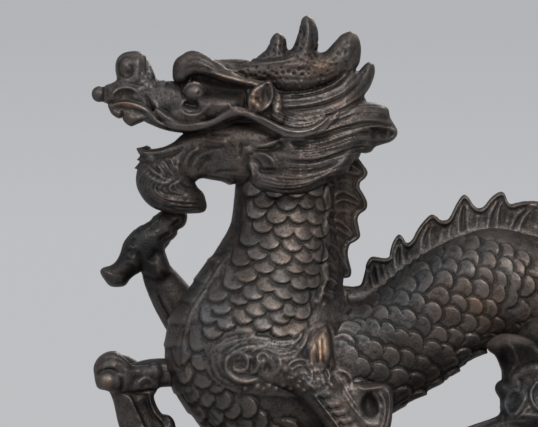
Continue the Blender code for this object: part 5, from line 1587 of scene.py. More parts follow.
PAW_KNUCKLES = [(95.2, 374.4), (94.4, 368), (96.8, 360.4), (102, 354.6), (108, 351.4), (115.7, 350.4), (120.4, 352.8), (125, 357.6), (129.6, 364), (136, 372),
                (132, 386), (121, 391.4), (113, 391.4), (105, 389), (98.6, 387.4), (96.2, 381)]
PAW_DIGIT = [(128, 365.6), (134.6, 362.6), (140, 360.6), (148, 358.8), (157, 358), (168, 358.2), (184, 361), (186, 386), (172, 386), (166, 386.2), (160, 386.8),
             (155, 389.4), (140, 391), (124, 390)]
PAW_WRIST = [(111.2, 390), (114.6, 402), (117.4, 415), (121, 429), (127, 441), (138, 451), (152, 458), (168, 461), (182, 456), (180, 442), (176.6, 429), (173.6, 419), (168.6, 413.2), (162.4, 412.4), (158, 407),
             (155.2, 400.6), (154.4, 394.4), (156, 389), (140, 383), (118, 383)]
FAR_PAW = [(161.5, 210.5), (155, 216), (148, 222.4), (140, 226), (133.4, 230.6), (127, 237), (122.8, 243.5), (120.8, 250), (118.4, 257), (114, 263), (109, 266),
           (103.4, 267.4), (100, 270.6), (101, 275), (104.4, 280), (107.4, 284.2), (112, 286.6), (119, 286.8), (124.8, 285.2), (129, 279.7), (134, 275.2),
           (138, 273.2), (142, 272), (156, 280), (170, 272), (166.4, 257.6), (164, 252), (163.8, 246), (166, 241.8), (172, 239.6), (176.4, 234.2),
           (177.4, 230), (184, 225.6), (186.6, 219), (185.6, 212), (176, 205)]


def arm_art():
    art = Sheet(84, 200, 404, 450)
    line, lines, dot = art.line, art.lines, art.dot
    art.h[int((312 - 200) / 0.5):int((312 - 200) / 0.5) + SHOULDER.h.shape[0], int((190 - 84) / 0.5):int((190 - 84) / 0.5) + SHOULDER.h.shape[1]] += SHOULDER.h
    # near paw
    line([(97, 372.6), (103, 368.6), (112, 367.6), (120.4, 372)], 1.5, -0.55)
    line([(121.8, 374), (123.6, 383), (121.4, 391)], 1.5, -0.5)
    line([(98.4, 362.6), (107, 357.4), (117, 357.4), (127, 362)], 1.9, -0.4)
    line([(101, 368), (110, 364.6), (120, 365.2)], 2.4, 0.35)
    line([(124, 368.6), (134, 369.6), (144, 368.8)], 1.8, 0.35)
    line([(137.6, 384.6), (141, 379.2), (148.6, 376.8), (156, 379.8)], 2.1, 0.55)
    line([(141, 387), (147, 382.6), (154, 384.4)], 2.0, -0.35)
    line([(150, 364), (160, 363.6), (172, 365)], 2.4, 0.3)
    line([(120, 391.4), (130, 391.8), (141, 391.2), (150, 390)], 1.4, -0.3)
    line([(129.4, 393), (133.4, 402), (138, 414)], 1.8, 0.3)
    facet = outline_distance([(129.4, 392), (149, 391.6), (150.6, 402), (155, 412), (164, 422), (168, 436), (150, 436), (142, 418), (136, 405)], 5, 0.5, False)
    U, V = np.meshgrid(art.u0 + art.step * np.arange(art.h.shape[1]), art.v0 + art.step * np.arange(art.h.shape[0]))
    box = (U > facet.u0 + 1) & (U < facet.u0 + facet.step * (facet.h.shape[1] - 2)) & (V > facet.v0 + 1) & (V < facet.v0 + facet.step * (facet.h.shape[0] - 2))
    art.h -= (1.0 * smooth(-np.where(box, facet.at(U, V), 9.0), -0.8, 2.4)).astype(np.float32)
    line([(138.6, 414), (142.6, 421)], 2.1, 0.5)
    dot(166, 420.6, 3.6, -0.8, 5.4)
    line([(117, 400), (121, 414), (127, 428)], 2.4, 0.25)
    # far paw
    line([(127.4, 245.6), (131.6, 247), (135.6, 249)], 1.8, 0.6)
    dot(133, 239.6, 2.6, -0.5)
    line([(136.6, 250), (140.6, 260), (143.6, 271)], 2.0, -0.5)
    line([(125, 262), (133, 263), (140, 268.6)], 2.0, 0.4)
    line([(156, 268), (160.8, 275.4), (164.4, 282)], 1.7, 0.5)
    line([(148, 262), (154, 256), (158, 248)], 4.4, -0.7)
    line([(143, 231), (152, 224), (161, 217)], 1.8, 0.35)
    line([(158, 241), (164, 236), (172, 232)], 2.0, -0.5)
    line([(166, 229), (174, 224), (182, 219)], 2.0, -0.35)
    line([(108, 272), (116, 275), (124, 273)], 2.2, -0.35)
    lines([[(112, 281), (118, 282.6), (124, 280)], [(127, 254), (131, 258), (136, 259)]], 1.8, 0.3)
    speckle(art, lambda u, v: 122 < u < 186 and 212 < v < 238, 122, 212, 186, 238, 4.6, 1.5, lambda u, v, p: 0.45 * (p - 0.35), 71)
    lines([[(160, 296), (170, 312), (180, 328)], [(152, 290), (158, 306), (168, 322)]], 2.4, 0.4)
    lines([[(156, 292), (164, 308), (174, 325)]], 1.6, -0.45)
    return art


def build_near_arm():
    h = 0.36
    F = Field(P(88, 520, 0) + np.array([0, -35, 0]), P(402, 320, 0) + np.array([0, 21, 0]), h)
    arm = [(u, v, y, r * (0.93 if u < 170 and v < 440 else 1.0)) for u, v, y, r in NEAR_ARM]
    F.sheet_chain(arm[:4], 1.0, 1.0)
    F.sheet_chain(arm[2:-1], 1.0, 1.0)
    F.sheet_ball(252, 361, -14.2, 38, 24, 7.0, 1.5)
    F.sheet_ball(298, 360, -16.4, 32, 21, 5.6, 1.5)
    F.sheet_ball(320, 352, -17.0, 14, 24, 4.6, 1.2)
    F.sheet_chain([(u - 1.5, v + 2.5, y, r * 0.80) for u, v, y, r in NEAR_DIGITS[1]], 1.0, 0.7)
    F.sheet_chain([(134, 395, 4.6, 11), (140, 403, 8.4, 9.4), (139, 413, 10.4, 8.4), (131.5, 419, 11.4, 6.2)], 1.0, 0.9)
    for chain in NEAR_DIGITS[4:]:
        F.sheet_chain([(u, v, y, r * 0.92) for u, v, y, r in chain], 1.0, 0.7)
    slab(F, PAW_KNUCKLES, -1.6, 8.8, 4.8, 0.5)
    slab(F, PAW_DIGIT, 0.4, 5.2, 3.8, 0.5)
    slab(F, PAW_WRIST, [(133, -0.8), (149, -1.9), (172, -3.9), (186, -4.9)], [(133, 6.2), (149, 5.1), (172, 3.3), (186, 2.6)], 5.6, 1.2)
    F.sheet_chain([(104.6, 379.2, -8.0, 8.2), (110, 379.4, -9.8, 9.0), (116, 379.6, -9.2, 8.2)], 1.0, 0.5)
    F.sheet_chain([(103, 367, -5, 8.6), (112, 362.6, -7.6, 9.6), (121, 364.6, -7.4, 9.0), (128, 372, -6.4, 8.6), (134, 377, -4.4, 9)], 1.0, 0.8)
    F.sheet_chain([(122, 371.6, -6.2, 7.4), (138, 371.6, -6.2, 7.2), (154, 371.4, -4.4, 8.4)], 1.0, 0.9)
    F.sheet_chain([(124, 383.4, -5.8, 7.4), (140, 382.6, -6.0, 7.0), (153, 381, -4.8, 6.6)], 1.0, 0.9)
    # clefts between the folded digits
    for y in (-5.4, -0.4, 4.0):
        F.sheet_chain([(112, 352, y, 0.8), (103, 355.6, y, 1.7), (95, 366, y, 2.3), (94, 377, y, 2.3), (100, 387.6, y, 1.7), (108, 391, y, 0.8)], 1.0, 1.0, cut=True)
    # forearm sinews toward the wrist
    for o in (-8, -2.5, 3.5):
        F.sheet_chain(rows([(330, 483 + o, -28), (296, 488 + o, -26), (248, 484 + o, -21.4), (206, 476 + o, -16.2), (172, 458 + o, -11)], (1.0, 2.4, 2.6, 2.4, 1.2)), 1.0, 0.4)
    # elbow cup: a curling leaf round a hollow
    F.sheet_chain(ELBOW_CURL, 0.9, 0.8)
    slab(F, [(343, 382), (352, 380.4), (364, 381.4), (376, 381), (384.6, 382), (388.8, 386), (390.4, 396), (390.2, 409), (389.2, 418), (386.4, 427), (383, 446), (350, 446), (342, 420), (336, 398)], -25.2, 3.4, 2.2, 0.8)
    F.sheet_ball(369.4, 402, -29.6, 8.6, 12.5, 3.2, 1.0, True)
    engrave(F, arm_art())
    v, f = F.skin()
    return biggest(v, f)


def build_far_arm():
    h = 0.42
    F = Field(P(92, 450, 0) + np.array([0, -1, 0]), P(330, 190, 0) + np.array([0, 35, 0]), h)
    F.sheet_chain(FAR_ARM[:6] + [(191.4, 330.6, 15, 22.2), (177, 306.4, 12.5, 21.8), (164.6, 287, 11, 18.6), (155.6, 271, 9.5, 14.6), (152, 254, 8.5, 13)], 1.0, 1.0)
    F.sheet_chain([(u + 4, v + 4, y, r * 0.85) for u, v, y, r in FAR_DIGITS[3][:3]], 1.0, 0.8)
    slab(F, FAR_PAW, 7.6, 5.6, 4.6, 0.6, grow=0.05)
    # clefts between the folded digits
    for y in (5.6, 9.4):
        F.sheet_chain([(135, 228, y, 0.8), (126, 236, y, 1.8), (118.4, 250, y, 2.2), (111, 263.6, y, 1.8), (101, 267.6, y, 2.0), (99.6, 277, y, 2.3), (108, 288, y, 2.0), (121, 288, y, 0.9)], 1.0, 1.0, cut=True)
    engrave(F, arm_art())
    v, f = F.skin()
    return biggest(v, f)


LEG_FRONT = [(487.6, 342), (488.6, 348.2), (494.4, 352.6), (499.2, 362.7), (503, 378.4), (497.8, 381.8), (495.2, 386.4), (496.8, 391.6), (501.6, 397.4),
             (500, 402.4), (500, 407), (503, 411), (506, 414.4), (487, 421.6), (472.7, 425.4), (464.8, 428.4), (452, 433), (456, 444), (480, 446), (516, 440),
             (548, 420), (556, 396), (552, 366), (540, 348), (520, 336), (500, 334)]


def leg_art(near=True):
    art = Sheet(452, 330, 612, 452)
    line, lines, dot = art.line, art.lines, art.dot
    line([(503, 343), (509, 347), (513.4, 354), (515, 364), (512.4, 371), (508, 378)], 2.0, 0.5)
    line([(498, 346), (501, 354), (505.6, 366), (506.4, 377)], 3.4, -0.55)
    line([(513, 366), (510, 373), (506.6, 379)], 1.3, 0.55)
    line([(504, 380), (511, 374.6), (519, 367.4), (528, 363.4), (541, 362.6)], 1.4, -0.55)
    line([(508, 384), (519, 375), (530, 370), (544, 369.4)], 3.2, 0.55)
    dot(514.4, 385, 5.0, 0.5)
    line([(517.6, 377), (520, 383), (518.6, 390)], 1.4, -0.5)
    dot(501.6, 388, 4.6, 0.25)
    line([(504.6, 402), (507.4, 394.4), (513.4, 390.4), (519, 391.4)], 1.9, 0.45)
    line([(504.4, 398), (504.6, 406), (507.6, 412.4), (513, 412.6), (517.6, 409), (523.4, 399.6), (525, 391)], 1.8, 0.6)
    dot(513.6, 401, 5.6, -0.7, 8.6)
    line([(527, 390.6), (525.6, 398.6), (520.6, 408), (514.6, 415.6)], 1.3, -0.45)
    line([(530.6, 404.6), (524.6, 408), (519.6, 414), (515, 420)], 1.7, 0.5)
    line([(545, 383), (538, 381.2), (532, 386), (529.4, 393.6), (531.4, 402), (537, 408), (545, 410), (552, 405)], 1.9, 1.0)
    line([(534, 390), (538.6, 386.6), (545, 388), (548.4, 394), (545, 401), (538.4, 402.4), (534.6, 398)], 1.9, 0.7)
    dot(540.6, 394.6, 2.6, 0.5)
    line([(503.4, 399), (503.2, 409)], 1.5, 0.5)
    lines([[(505, 418.4), (520, 414), (536, 415), (552, 416)], [(490, 424), (508, 420.6), (526, 421.6)]], 1.6, 0.3)
    line([(504, 412.6), (503.6, 423)], 1.4, -0.4)
    if near:
        line([(536, 350), (552, 356), (570, 356), (588, 348)], 2.4, 0.5)
    line([(556, 372), (566, 380), (570, 394), (562, 408)], 2.4, 0.6)
    speckle(art, inside_of([(500, 345), (560, 345), (600, 350), (590, 420), (500, 420)]), 498, 345, 600, 425, 6.5, 2.0, lambda u, v, p: 0.28 * (p - 0.5), 37)
    art.u0, art.v0 = art.u0 - 2.5, art.v0 - 2.5
    art.h *= 0.85
    return art


def leg(near):
    h = 0.40 if near else 0.5
    chain = NEAR_HIND if near else FAR_HIND
    digits = NEAR_HIND_DIGITS if near else FAR_HIND_DIGITS
    s = -1 if near else 1
    y0 = (-36, 4) if near else (0, 38)
    us = (414, 612) if near else (514, 662)
    F = Field(P(us[0], 536, 0) + np.array([0, y0[0], 0]), P(us[1], 300, 0) + np.array([0, y0[1], 0]), h)
    F.sheet_chain(chain, 1.0, 1.2)
    claws(F, digits, 0.5)
    du = 0 if near else 46
    dy = 0 if near else 51.5

    def line(pts, radii, k=0.35, cut=False, flat=1.0):
        pts = [(u + du, v, y + dy if False else (y if near else -y)) for u, v, y in pts]
        F.sheet_chain(rows(pts, radii), flat, k, cut)

    if near:
        # groin and the leading edge of the thigh
        line([(512, 346, -9), (509, 357, -12), (510, 368, -15), (513, 380, -18), (514, 394, -20)], (15, 12.5, 10.5, 12.5, 13), 1.2)
        line([(500, 384, -19), (508, 396, -22), (512, 408, -24)], (5, 9, 11), 0.8)
        line([(499, 384.5, -19.5), (501.5, 393, -20.5), (505, 402, -21.5), (506, 413, -22.5)], (3.4, 4.2, 4.4, 4.0), 0.5)
        line([(503, 362, -13), (507, 372, -16.5), (506, 379, -18.5)], (2.6, 3.4, 2.4), 0.5)
        line([(497, 384, -19.8), (500, 387, -20.6)], (3.0, 3.4), 0.4)
        line([(501, 399, -20.8), (504, 400, -21.4)], (3.4, 3.6), 0.4)
        line([(503, 416, -23.4), (492, 420, -24.4), (480, 424, -25.2), (466, 428, -26)], (5.5, 5.6, 5.6, 5.0), 0.7)
        slab(F, LEG_FRONT, [(488, -17.5), (505, -20.5), (530, -23.5), (552, -24)], [(488, 3.2), (505, 4.6), (530, 5.2)], 3.0, 1.2, grow=0.45)
    # curls on the thigh
    line([(526, 348, -21.6), (536, 358, -25), (550, 364, -27), (566, 362, -27), (580, 352, -25)], (1.2, 2.4, 2.6, 2.2, 1.0))
    line([(530, 366, -27), (544, 374, -28.6), (560, 376, -29), (576, 368, -27.6)], (1.2, 2.4, 2.4, 1.0))
    if near:
        line([(560, 400, -27), (552, 412, -27), (540, 424, -27.4), (524, 432, -27.8)], (1.6, 3.0, 3.0, 1.6))
    line([(500, 441, -30), (478, 450, -30.4), (462, 462, -30.2), (474, 478, -30)], (1.2, 2.2, 2.2, 1.2))
    ends = [(440, 524, -30), (433, 523, -25), (441, 524, -19.5), (538, 523, -25)] if near else \
        [(542, 524, 32.5), (535, 523, 27.4), (543, 524, 22), (638, 523, 27.2)]
    for i, (u, v, y) in enumerate(ends):
        back = i == 3
        nail(F, (u + (-4 if back else 4), v - 5, y), (u + (8 if back else -9), v + 3.5, y), 5.2)
    engrave(F, leg_art(near), *((0, 0) if near else (46, 27)))
    v, f = F.skin()
    v[:, 2] = np.maximum(v[:, 2], PLINTH_TOP + 0.02)
    return biggest(v, f)


def build_crest():
    """Breaking wave of rock under the chest."""
    h = 0.5
    F = Field(P(205, 534, 0) + np.array([0, -24, 0]), P(372, 415, 0) + np.array([0, 24, 0]), h)
    F.sheet_chain(CREST, 1.0, 1.5)
    for chain in CREST_SIDE:
        F.sheet_chain(chain, 1.0, 0.9)
    for i in range(10):
        a = 2 * math.pi * i / 10 + 0.3
        x, y = math.cos(a), math.sin(a)
        wob = 3 * math.sin(3.1 * i)
        F.sheet_chain([(296 + 22 * x, 462, 7.0 * y, 3), (291 + 24 * x + wob, 486, 7.6 * y, 4.2),
                       (286 + 31 * x - wob, 508, 9.8 * y, 4.6), (283 + 42 * x, 530, 13.4 * y, 4.4)], 1.0, 0.8)
    for i in range(6):
        a = 2 * math.pi * i / 6
        x, y = math.cos(a), math.sin(a)
        c = (284 + 47 * x, 519 - 3 * (i % 2), 15.0 * y)
        pts = []
        for j in range(9):
            b = 0.6 + j * 0.75
            r = 8.5 * (1 - j / 11)
            pts.append((c[0] + r * math.cos(b) * (0.4 + 0.6 * abs(y) + 0.3), c[1] + r * math.sin(b), c[2] + 0.8 * np.sign(y)))
        F.sheet_chain(rows(pts, (2.2, 3.2, 2.8, 1.8)), 1.0, 0.5)
    v, f = F.skin()
    v[:, 2] = np.maximum(v[:, 2], PLINTH_TOP + 0.02)
    return biggest(v, f)


def build_tuft():
    h = 0.45
    F = Field(P(722, 180, 0) + np.array([0, -8, 0]), P(812, 58, 0) + np.array([0, 8, 0]), h)
    for chain in TAIL_TUFT:
        F.sheet_chain(chain, 0.7, 0.8)
        p = np.array(chain, float)
        for o in (-0.5, 0.0, 0.5):
            for s in (-1, 1):
                q = p.copy()
                q[:, 0] += o * q[:, 3]
                q[:, 2] += s * q[:, 3] * SHEET * 0.62
                q[:, 3] = np.maximum(q[:, 3] * 0.24, 0.8)
                F.sheet_chain([tuple(r) for r in q], 1.0, 0.3)
    v, f = F.skin()
    return biggest(v, f)


# ---------------------------------------------------------------- dorsal fin
FIN_EDGE_NECK = [(352, 150), (355, 155), (361, 163), (367.6, 172.6), (364.5, 178), (360, 181.5), (359.2, 188), (363.4, 194.8), (366.9, 203), (365.8, 209.6),
                 (359, 213.8), (357, 219.5), (358.6, 227.8), (360, 236.5), (355.1, 241), (349.5, 243.6), (347.6, 249.2), (347.4, 255.7), (349.4, 264),
                 (351, 271), (349.4, 276.6), (343, 277.6), (341, 279.5)]
FIN_EDGE_BACK = [(361, 287), (362.4, 281.6), (365.5, 272.2), (367.9, 262.7), (371.4, 258), (376, 258.3), (382, 259), (387, 259), (390.8, 257.4), (391.3, 251.6),
                 (393.2, 245.3), (396.4, 239), (399.5, 235.8), (401.9, 237.4), (403.5, 242.1), (407.4, 244.5), (411.4, 242.1), (415.3, 237.4), (417.7, 231.9),
                 (423.2, 224), (429.5, 217.7), (432.7, 215.6), (435.9, 217.2), (438.2, 221.6), (443.8, 223.5), (448.5, 222.4), (451.7, 218.4),
                 (454, 212.1), (458.8, 203.4), (463.5, 197.1), (465.9, 196), (469, 199.5), (472.2, 205), (476.9, 209), (481.7, 209.3),
                 (486.4, 206.6), (489.6, 201.9), (494.3, 197.1), (500.6, 193.2), (503.8, 193.2), (505.4, 197.9), (507.8, 203.4), (511.7, 205.5),
                 (516.4, 204.2), (524.3, 202.6), (532.2, 202.3), (539, 203), (541, 208), (545, 213)]


def build_back_fin():
    """The fin beyond the hump, down to the tail's end: teeth and shallow pleats."""
    n = len(tc)
    dorsal = tc + tup * ta[:, None]
    du, dv = sheet_of(dorsal)
    uu, uv = tup[:, 0] / SHEET, -tup[:, 2] / SHEET
    edge = np.full(n, np.nan)
    edge_j = 0
    for outline, a, b in ((FIN_EDGE_NECK, 0, int(n * 6.6 / 29)), (FIN_EDGE_BACK, int(n * 6.2 / 29), int(n * 17.5 / 29))):
        pts = np.array(outline, float)
        fine = []
        for p, q in zip(pts, pts[1:]):
            m = max(2, int(np.hypot(*(q - p)) / 0.7))
            fine += [p + (q - p) * t for t in np.linspace(0, 1, m, endpoint=False)]
        for pu, pv in fine:
            gu, gv = pu - du[a:b], pv - dv[a:b]
            norm = np.hypot(uu[a:b], uv[a:b])
            along = (gu * uu[a:b] + gv * uv[a:b]) / norm
            off = np.abs(gu * uv[a:b] - gv * uu[a:b]) / norm
            off[along < 1.5] = 1e9
            k = int(np.argmin(off))
            if off[k] < 2.5:
                h = along[k] * SHEET
                edge[a + k] = h if np.isnan(edge[a + k]) else max(edge[a + k], h)
    known = np.where(~np.isnan(edge))[0]
    last_known = int(known.max())
    crook = int(n * 6.45 / 29)
    full = np.interp(np.arange(n), known, edge[known])
    # teeth beyond the measured outline
    place, tall = fin_teeth(dorsal, tup, ta)
    run = np.concatenate([[0], np.cumsum(np.linalg.norm(np.diff(dorsal, axis=0), axis=1))])
    at = run[last_known]
    tip_k, tip_h = [], []
    pitch = 11.0
    while at < run[-1] - 5:
        size = min(1.0, ta[min(n - 1, int(np.searchsorted(run, at)))] / 15.0)
        pitch = 5.0 + 6.0 * size
        at += pitch
        if at > run[-1] - 5:
            break
        tip_k.append(int(np.searchsorted(run, at - 0.18 * pitch)))
        tip_h.append(2.0 + 7.0 * size)
    for i, (k, h) in enumerate(zip(tip_k, tip_h)):
        k0 = last_known if i == 0 else int(tip_k[i - 1])
        h0 = full[last_known] if i == 0 else tip_h[i - 1]
        span = np.arange(k0, k + 1)
        t = (run[span] - run[k0]) / max(1e-6, run[k] - run[k0])
        dip = 0.50 * h
        low = np.where(t < 0.25, h0 + (dip - h0) * smooth(t, 0, 0.25), dip + (h - dip) * np.sin(0.5 * np.pi * np.clip((t - 0.25) / 0.75, 0, 1)) ** 1.2)
        full[span] = low
    if tip_k:
        span = np.arange(tip_k[-1], n)
        full[span] = tip_h[-1] * (1 - smooth((run[span] - run[tip_k[-1]]) / max(1e-6, run[-1] - run[tip_k[-1]]), 0, 0.8)) + 0.3
    full = np.convolve(np.pad(full, 5, mode="edge"), np.ones(5) / 5, mode="same")[5:-5]
    # the fin dips out of sight in the crook of the neck
    k = np.arange(n)
    s_lo, s_hi = int(n * 0.452), n - 40
    keep = k[s_lo:s_hi]
    size = 0.36
    seg = run[keep] / size
    seg = seg - seg[0]
    tip_run = np.concatenate([[0], np.cumsum(np.linalg.norm(np.diff((dorsal + tup * full[:, None])[keep], axis=0), axis=1))]) / size
    meas = np.maximum(seg, 0.6 * tip_run + 0.4 * seg)
    stations = np.interp(np.linspace(0, meas[-1], int(meas[-1])), meas, keep)
    i0 = stations.astype(int)
    fr = (stations - i0)[:, None]

    def at_s(x):
        x = np.asarray(x, float)
        if x.ndim == 1:
            x = x[:, None]
        return x[i0] * (1 - fr) + x[i0 + 1] * fr

    C, U, S_, A, Wd = at_s(tc), at_s(tup), at_s(tside), at_s(ta)[:, 0], at_s(tw)[:, 0]
    H = at_s(full)[:, 0]
    T = 26
    t = np.linspace(-0.35, 1.0, T)
    # pleats: radial ridges fanned from the base
    R = np.interp(stations, np.arange(n), run)
    local = np.interp(R, run, np.clip(ta / 15.0, 0.3, 1.0))
    ph = np.cumsum(np.concatenate([[0], np.diff(R) / (3.7 * local[1:])])) * 2 * math.pi
    rows_out = []
    for side in (1, -1):
        for j, tt in enumerate(t if side == 1 else t[::-1]):
            hh = np.where(tt < 0, tt * np.minimum(6.0, A * 0.6), tt * H)
            lean = 0.9 * tt * 2
            pl = np.sin(ph - lean * 1.4) * 0.5 + 0.5
            pl = pl ** 0.8 + 0.25 * np.sin(1.7 * ph - lean)
            amp = 0.26 * np.clip(H / 5, 0.3, 1) * smooth(tt, -0.05, 0.25) * (1 - smooth(tt, 0.80, 0.93))
            base_t = 1.15 * (1 - smooth(tt, -0.1, 0.5)) + 0.62
            th = base_t + amp * pl
            rim = 0.42 * bump(tt - 0.93, 0.055) * np.clip(H / 4, 0.3, 1)
            th = (th + rim) * np.clip(Wd / 8, 0.35, 1.0)
            if tt > 0.985:
                th = th * 0.25
            elif tt > 0.955:
                th = th * 0.8
            p = C + U * (A + hh)[:, None] + S_ * (side * th)[:, None]
            rows_out.append(p)
    grid = np.stack(rows_out, axis=1)
    ns, nt = grid.shape[:2]
    verts = grid.reshape(-1, 3)
    verts = verts + vertex_noise(verts)
    idx = np.arange(ns * nt).reshape(ns, nt)
    nxt = np.roll(idx, -1, axis=1)
    quads = np.stack([idx[:-1], idx[1:], nxt[1:], nxt[:-1]], axis=2).reshape(-1, 4)
    ends = []
    for ring, flip in ((idx[0], False), (idx[-1], True)):
        half = nt // 2
        for j in range(half - 1):
            a, b, c, d = ring[j], ring[j + 1], ring[nt - 2 - j], ring[nt - 1 - j]
            ends.append((a, b, c, d) if not flip else (d, c, b, a))
    quads = np.vstack([quads, np.array(ends)])
    centre = C.mean(axis=0)
    nn = vertex_normals(verts, quads)
    mid = idx[ns // 2]
    if (nn[mid[T // 2]] * S_[ns // 2]).sum() < 0:
        quads = quads[:, ::-1]
    return verts, quads


FRILL_BACK = [(361, 286), (363.4, 281), (365.8, 272.2), (367.9, 263.4), (371.4, 258.2), (376, 257.6), (382, 258.8), (387, 258.8), (390.6, 256.8), (391.6, 251),
              (393.4, 244.6), (396.4, 238.6), (399.5, 235.4), (402, 237.2), (404, 241.6), (407.6, 244), (411.6, 241.8), (415.2, 237), (417.9, 231.4),
              (423.2, 223.8), (429, 217.6), (432.7, 215.4), (436, 216.6), (438.8, 219.8), (443.8, 221.4), (448.5, 220.4), (451.7, 216.8),
              (454.2, 211.6), (458.6, 203.4), (462.8, 197.2), (465.9, 195.6), (469, 199), (472.2, 204.4), (476.9, 208.4), (481.7, 208.8),
              (486.2, 206), (489.8, 201.4), (494.3, 196.7), (500, 193), (503.6, 192.8), (505.6, 197.6), (508, 202.8), (511.9, 205),
              (516.4, 203.8), (524.3, 202.2), (532.2, 201.8), (539, 202.4), (544, 205), (550, 211), (556, 222), (556, 248), (520, 240), (490, 238), (466, 242), (440, 252), (418, 266), (398, 280), (382, 294), (370, 304), (352, 304), (342, 292),
              (339, 286.6), (346, 286.6), (354, 288)]
FRILL_NECK = [(340, 148), (350, 150), (355.4, 155), (361.4, 163), (367.2, 172), (365, 177.6), (360.4, 181.4), (359.2, 187.6), (363.2, 194.4), (366.9, 203),
              (365.6, 209), (359.4, 213.4), (357, 219.2), (358.4, 227.6), (359.8, 236), (355.4, 240.6), (349.8, 243.4), (347.6, 249), (347.4, 255.7), (349.2, 264),
              (350.8, 271), (349.8, 276), (345.4, 277), (341, 278), (338, 281), (326, 288), (318, 250), (318, 200), (322, 150)]


def frill_art():
    art = Sheet(312, 140, 566, 312, 0.4)
    line, lines = art.line, art.lines
    top = FRILL_BACK[3:49]
    line([(u + 0.2, v + 2.2) for u, v in top], 1.5, 0.42, ends=(0.02, 0.02))
    line([(u + 0.6, v + 5.4) for u, v in top], 1.9, -0.2, ends=(0.03, 0.03))
    lines([[(374, 290), (371.4, 277), (372.4, 266)], [(380.6, 284), (377.4, 273), (375.6, 264)],
           [(394.6, 272), (394.8, 257), (398.4, 243)], [(403.6, 266), (401.6, 254), (401, 243)],
           [(419.4, 255), (422.6, 238), (430.4, 222)], [(429.6, 250), (429.8, 236), (433, 223)],
           [(458.4, 236), (459.6, 218), (463.4, 203)], [(468.6, 233), (467.4, 217), (466.8, 204)],
           [(486.4, 232), (491, 214), (499, 199)], [(496.8, 231), (499, 214), (502.6, 201)],
           [(509, 231), (516.6, 217), (527, 207.4)], [(518, 231), (524.6, 218), (534.6, 208)],
           [(540, 232), (546, 220), (550, 212)]], (1.7, 2.0, 1.5), 0.42, ends=(0.25, 0.12))
    lines([[(399, 270), (398.4, 256), (399.8, 245)], [(424.4, 252), (426.4, 238), (431.6, 224)], [(463.6, 233), (463.4, 218), (465, 204)],
           [(491.4, 232), (495, 214), (500.8, 201)], [(513.6, 231), (520.6, 218), (530.6, 208)], [(377, 286), (374.4, 276), (374, 266)]], 1.1, -0.22)
    lines([[(385.6, 279), (383.4, 270), (382, 264)], [(388.6, 274), (388, 266)], [(408.4, 260), (407.6, 252)], [(438.6, 246), (441, 234), (444, 227)],
           [(447.6, 240), (449.6, 230), (452, 223)], [(476, 231), (477.6, 219), (478.6, 213)], [(505, 230), (508.6, 216), (512, 209)]], 1.5, 0.24, ends=(0.3, 0.3))
    # neck fin: tip pleats and slack skin at its root
    edge = FRILL_NECK[2:23]
    line([(u - 2.2, v) for u, v in edge], 1.5, 0.40, ends=(0.03, 0.03))
    line([(u - 5.4, v) for u, v in edge], 1.9, -0.28, ends=(0.03, 0.03))
    lines([[(333, 199.6), (338, 193), (344, 191.4), (352, 195.6), (362, 203)], [(334, 204), (342, 199.6), (351, 201), (361, 206)],
           [(332, 164), (344, 163.4), (354, 167), (363, 173)], [(332, 171.6), (344, 171), (354, 173), (362, 175.6)],
           [(333, 219), (340, 221.6), (347, 228), (355, 235.6)], [(332, 227), (340, 229.4), (347, 234), (353, 238)],
           [(333, 246), (339, 252), (344, 262), (347, 271)], [(330, 252), (335, 260), (339, 268), (343, 275)]], 1.8, 0.6, ends=(0.25, 0.12))
    lines([[(334, 202), (341, 196.4), (350, 198), (361, 204.4)], [(332, 168), (344, 167.4), (354, 170)], [(334, 224), (341, 226), (348, 232)], [(333, 250), (338, 257), (342, 266)]], 1.4, -0.5)
    lines([[(336, 182), (346, 181), (354, 184)], [(337, 211), (345, 211), (353, 214)], [(334, 236), (341, 240), (346, 246)], [(325, 236), (330, 246), (331, 262), (328, 277)],
           [(330, 178), (329, 196), (331, 214), (330, 232)], [(324, 256), (326, 268), (323, 280)], [(335, 262), (336, 272), (333, 281)]], 1.8, 0.42, ends=(0.25, 0.25))
    return art


def build_fin():
    """The frilled fin over neck and back, pleated toward each tip."""
    h = 0.3
    F = Field(P(316, 306, 0) + np.array([0, -7.5, 0]), P(562, 144, 0) + np.array([0, 7.5, 0]), h)
    slab(F, FRILL_BACK, 0.0, 1.15, 0.9, 0.5, grow=0.3)
    root = [(352, 296), (366, 294), (382, 283), (400, 268.6), (427, 250.4), (450, 238.6), (472, 231.4), (500, 229.4), (520, 231), (548, 240)]
    F.chain([(*P(u, v + 2.5, 0.0), 2.5) for u, v in root], 1.0, 2.2)
    slab(F, FRILL_NECK, 0.0, [(318, 6.6), (334, 4.6), (344, 2.5), (356, 1.3), (368, 1.0)], 0.9, 0.5, grow=0.15)
    F.chain([(*P(u, v, 0.0), r) for u, v, r in ((324, 262, 3.0), (328, 284, 3.0), (342, 299, 2.6), (358, 300, 2.4))], 1.0, 1.0)
    engrave(F, frill_art())
    v, f = F.skin()
    v, f = biggest(v, f)
    # the frill sways from side to side between its tips
    u, w = sheet_of(v)
    sway = np.interp(u, [350, 366, 372, 384, 399, 409, 432, 446, 465, 482, 502, 514, 534, 546, 556], [0, 0, 0.5, -0.6, 0.7, -0.6, 0.8, -0.8, 0.9, -0.9, 0.9, -0.8, 0.8, -0.2, 0])
    lift = np.interp(u, [352, 366, 382, 400, 427, 450, 472, 500, 520, 548], [296, 294, 283, 268.6, 250.4, 238.6, 231.4, 229.4, 231, 240]) - w
    v[:, 1] += np.where(u > 356, sway * smooth(lift, 0, 22), 0)
    v2, q2 = build_back_fin()
    return np.vstack([v, v2]), np.vstack([triangles(f), triangles(q2) + len(v)])


def vertex_noise(v):
    return np.stack([0.05 * noise(v, 1.6, s) for s in (11, 12, 13)], axis=1)


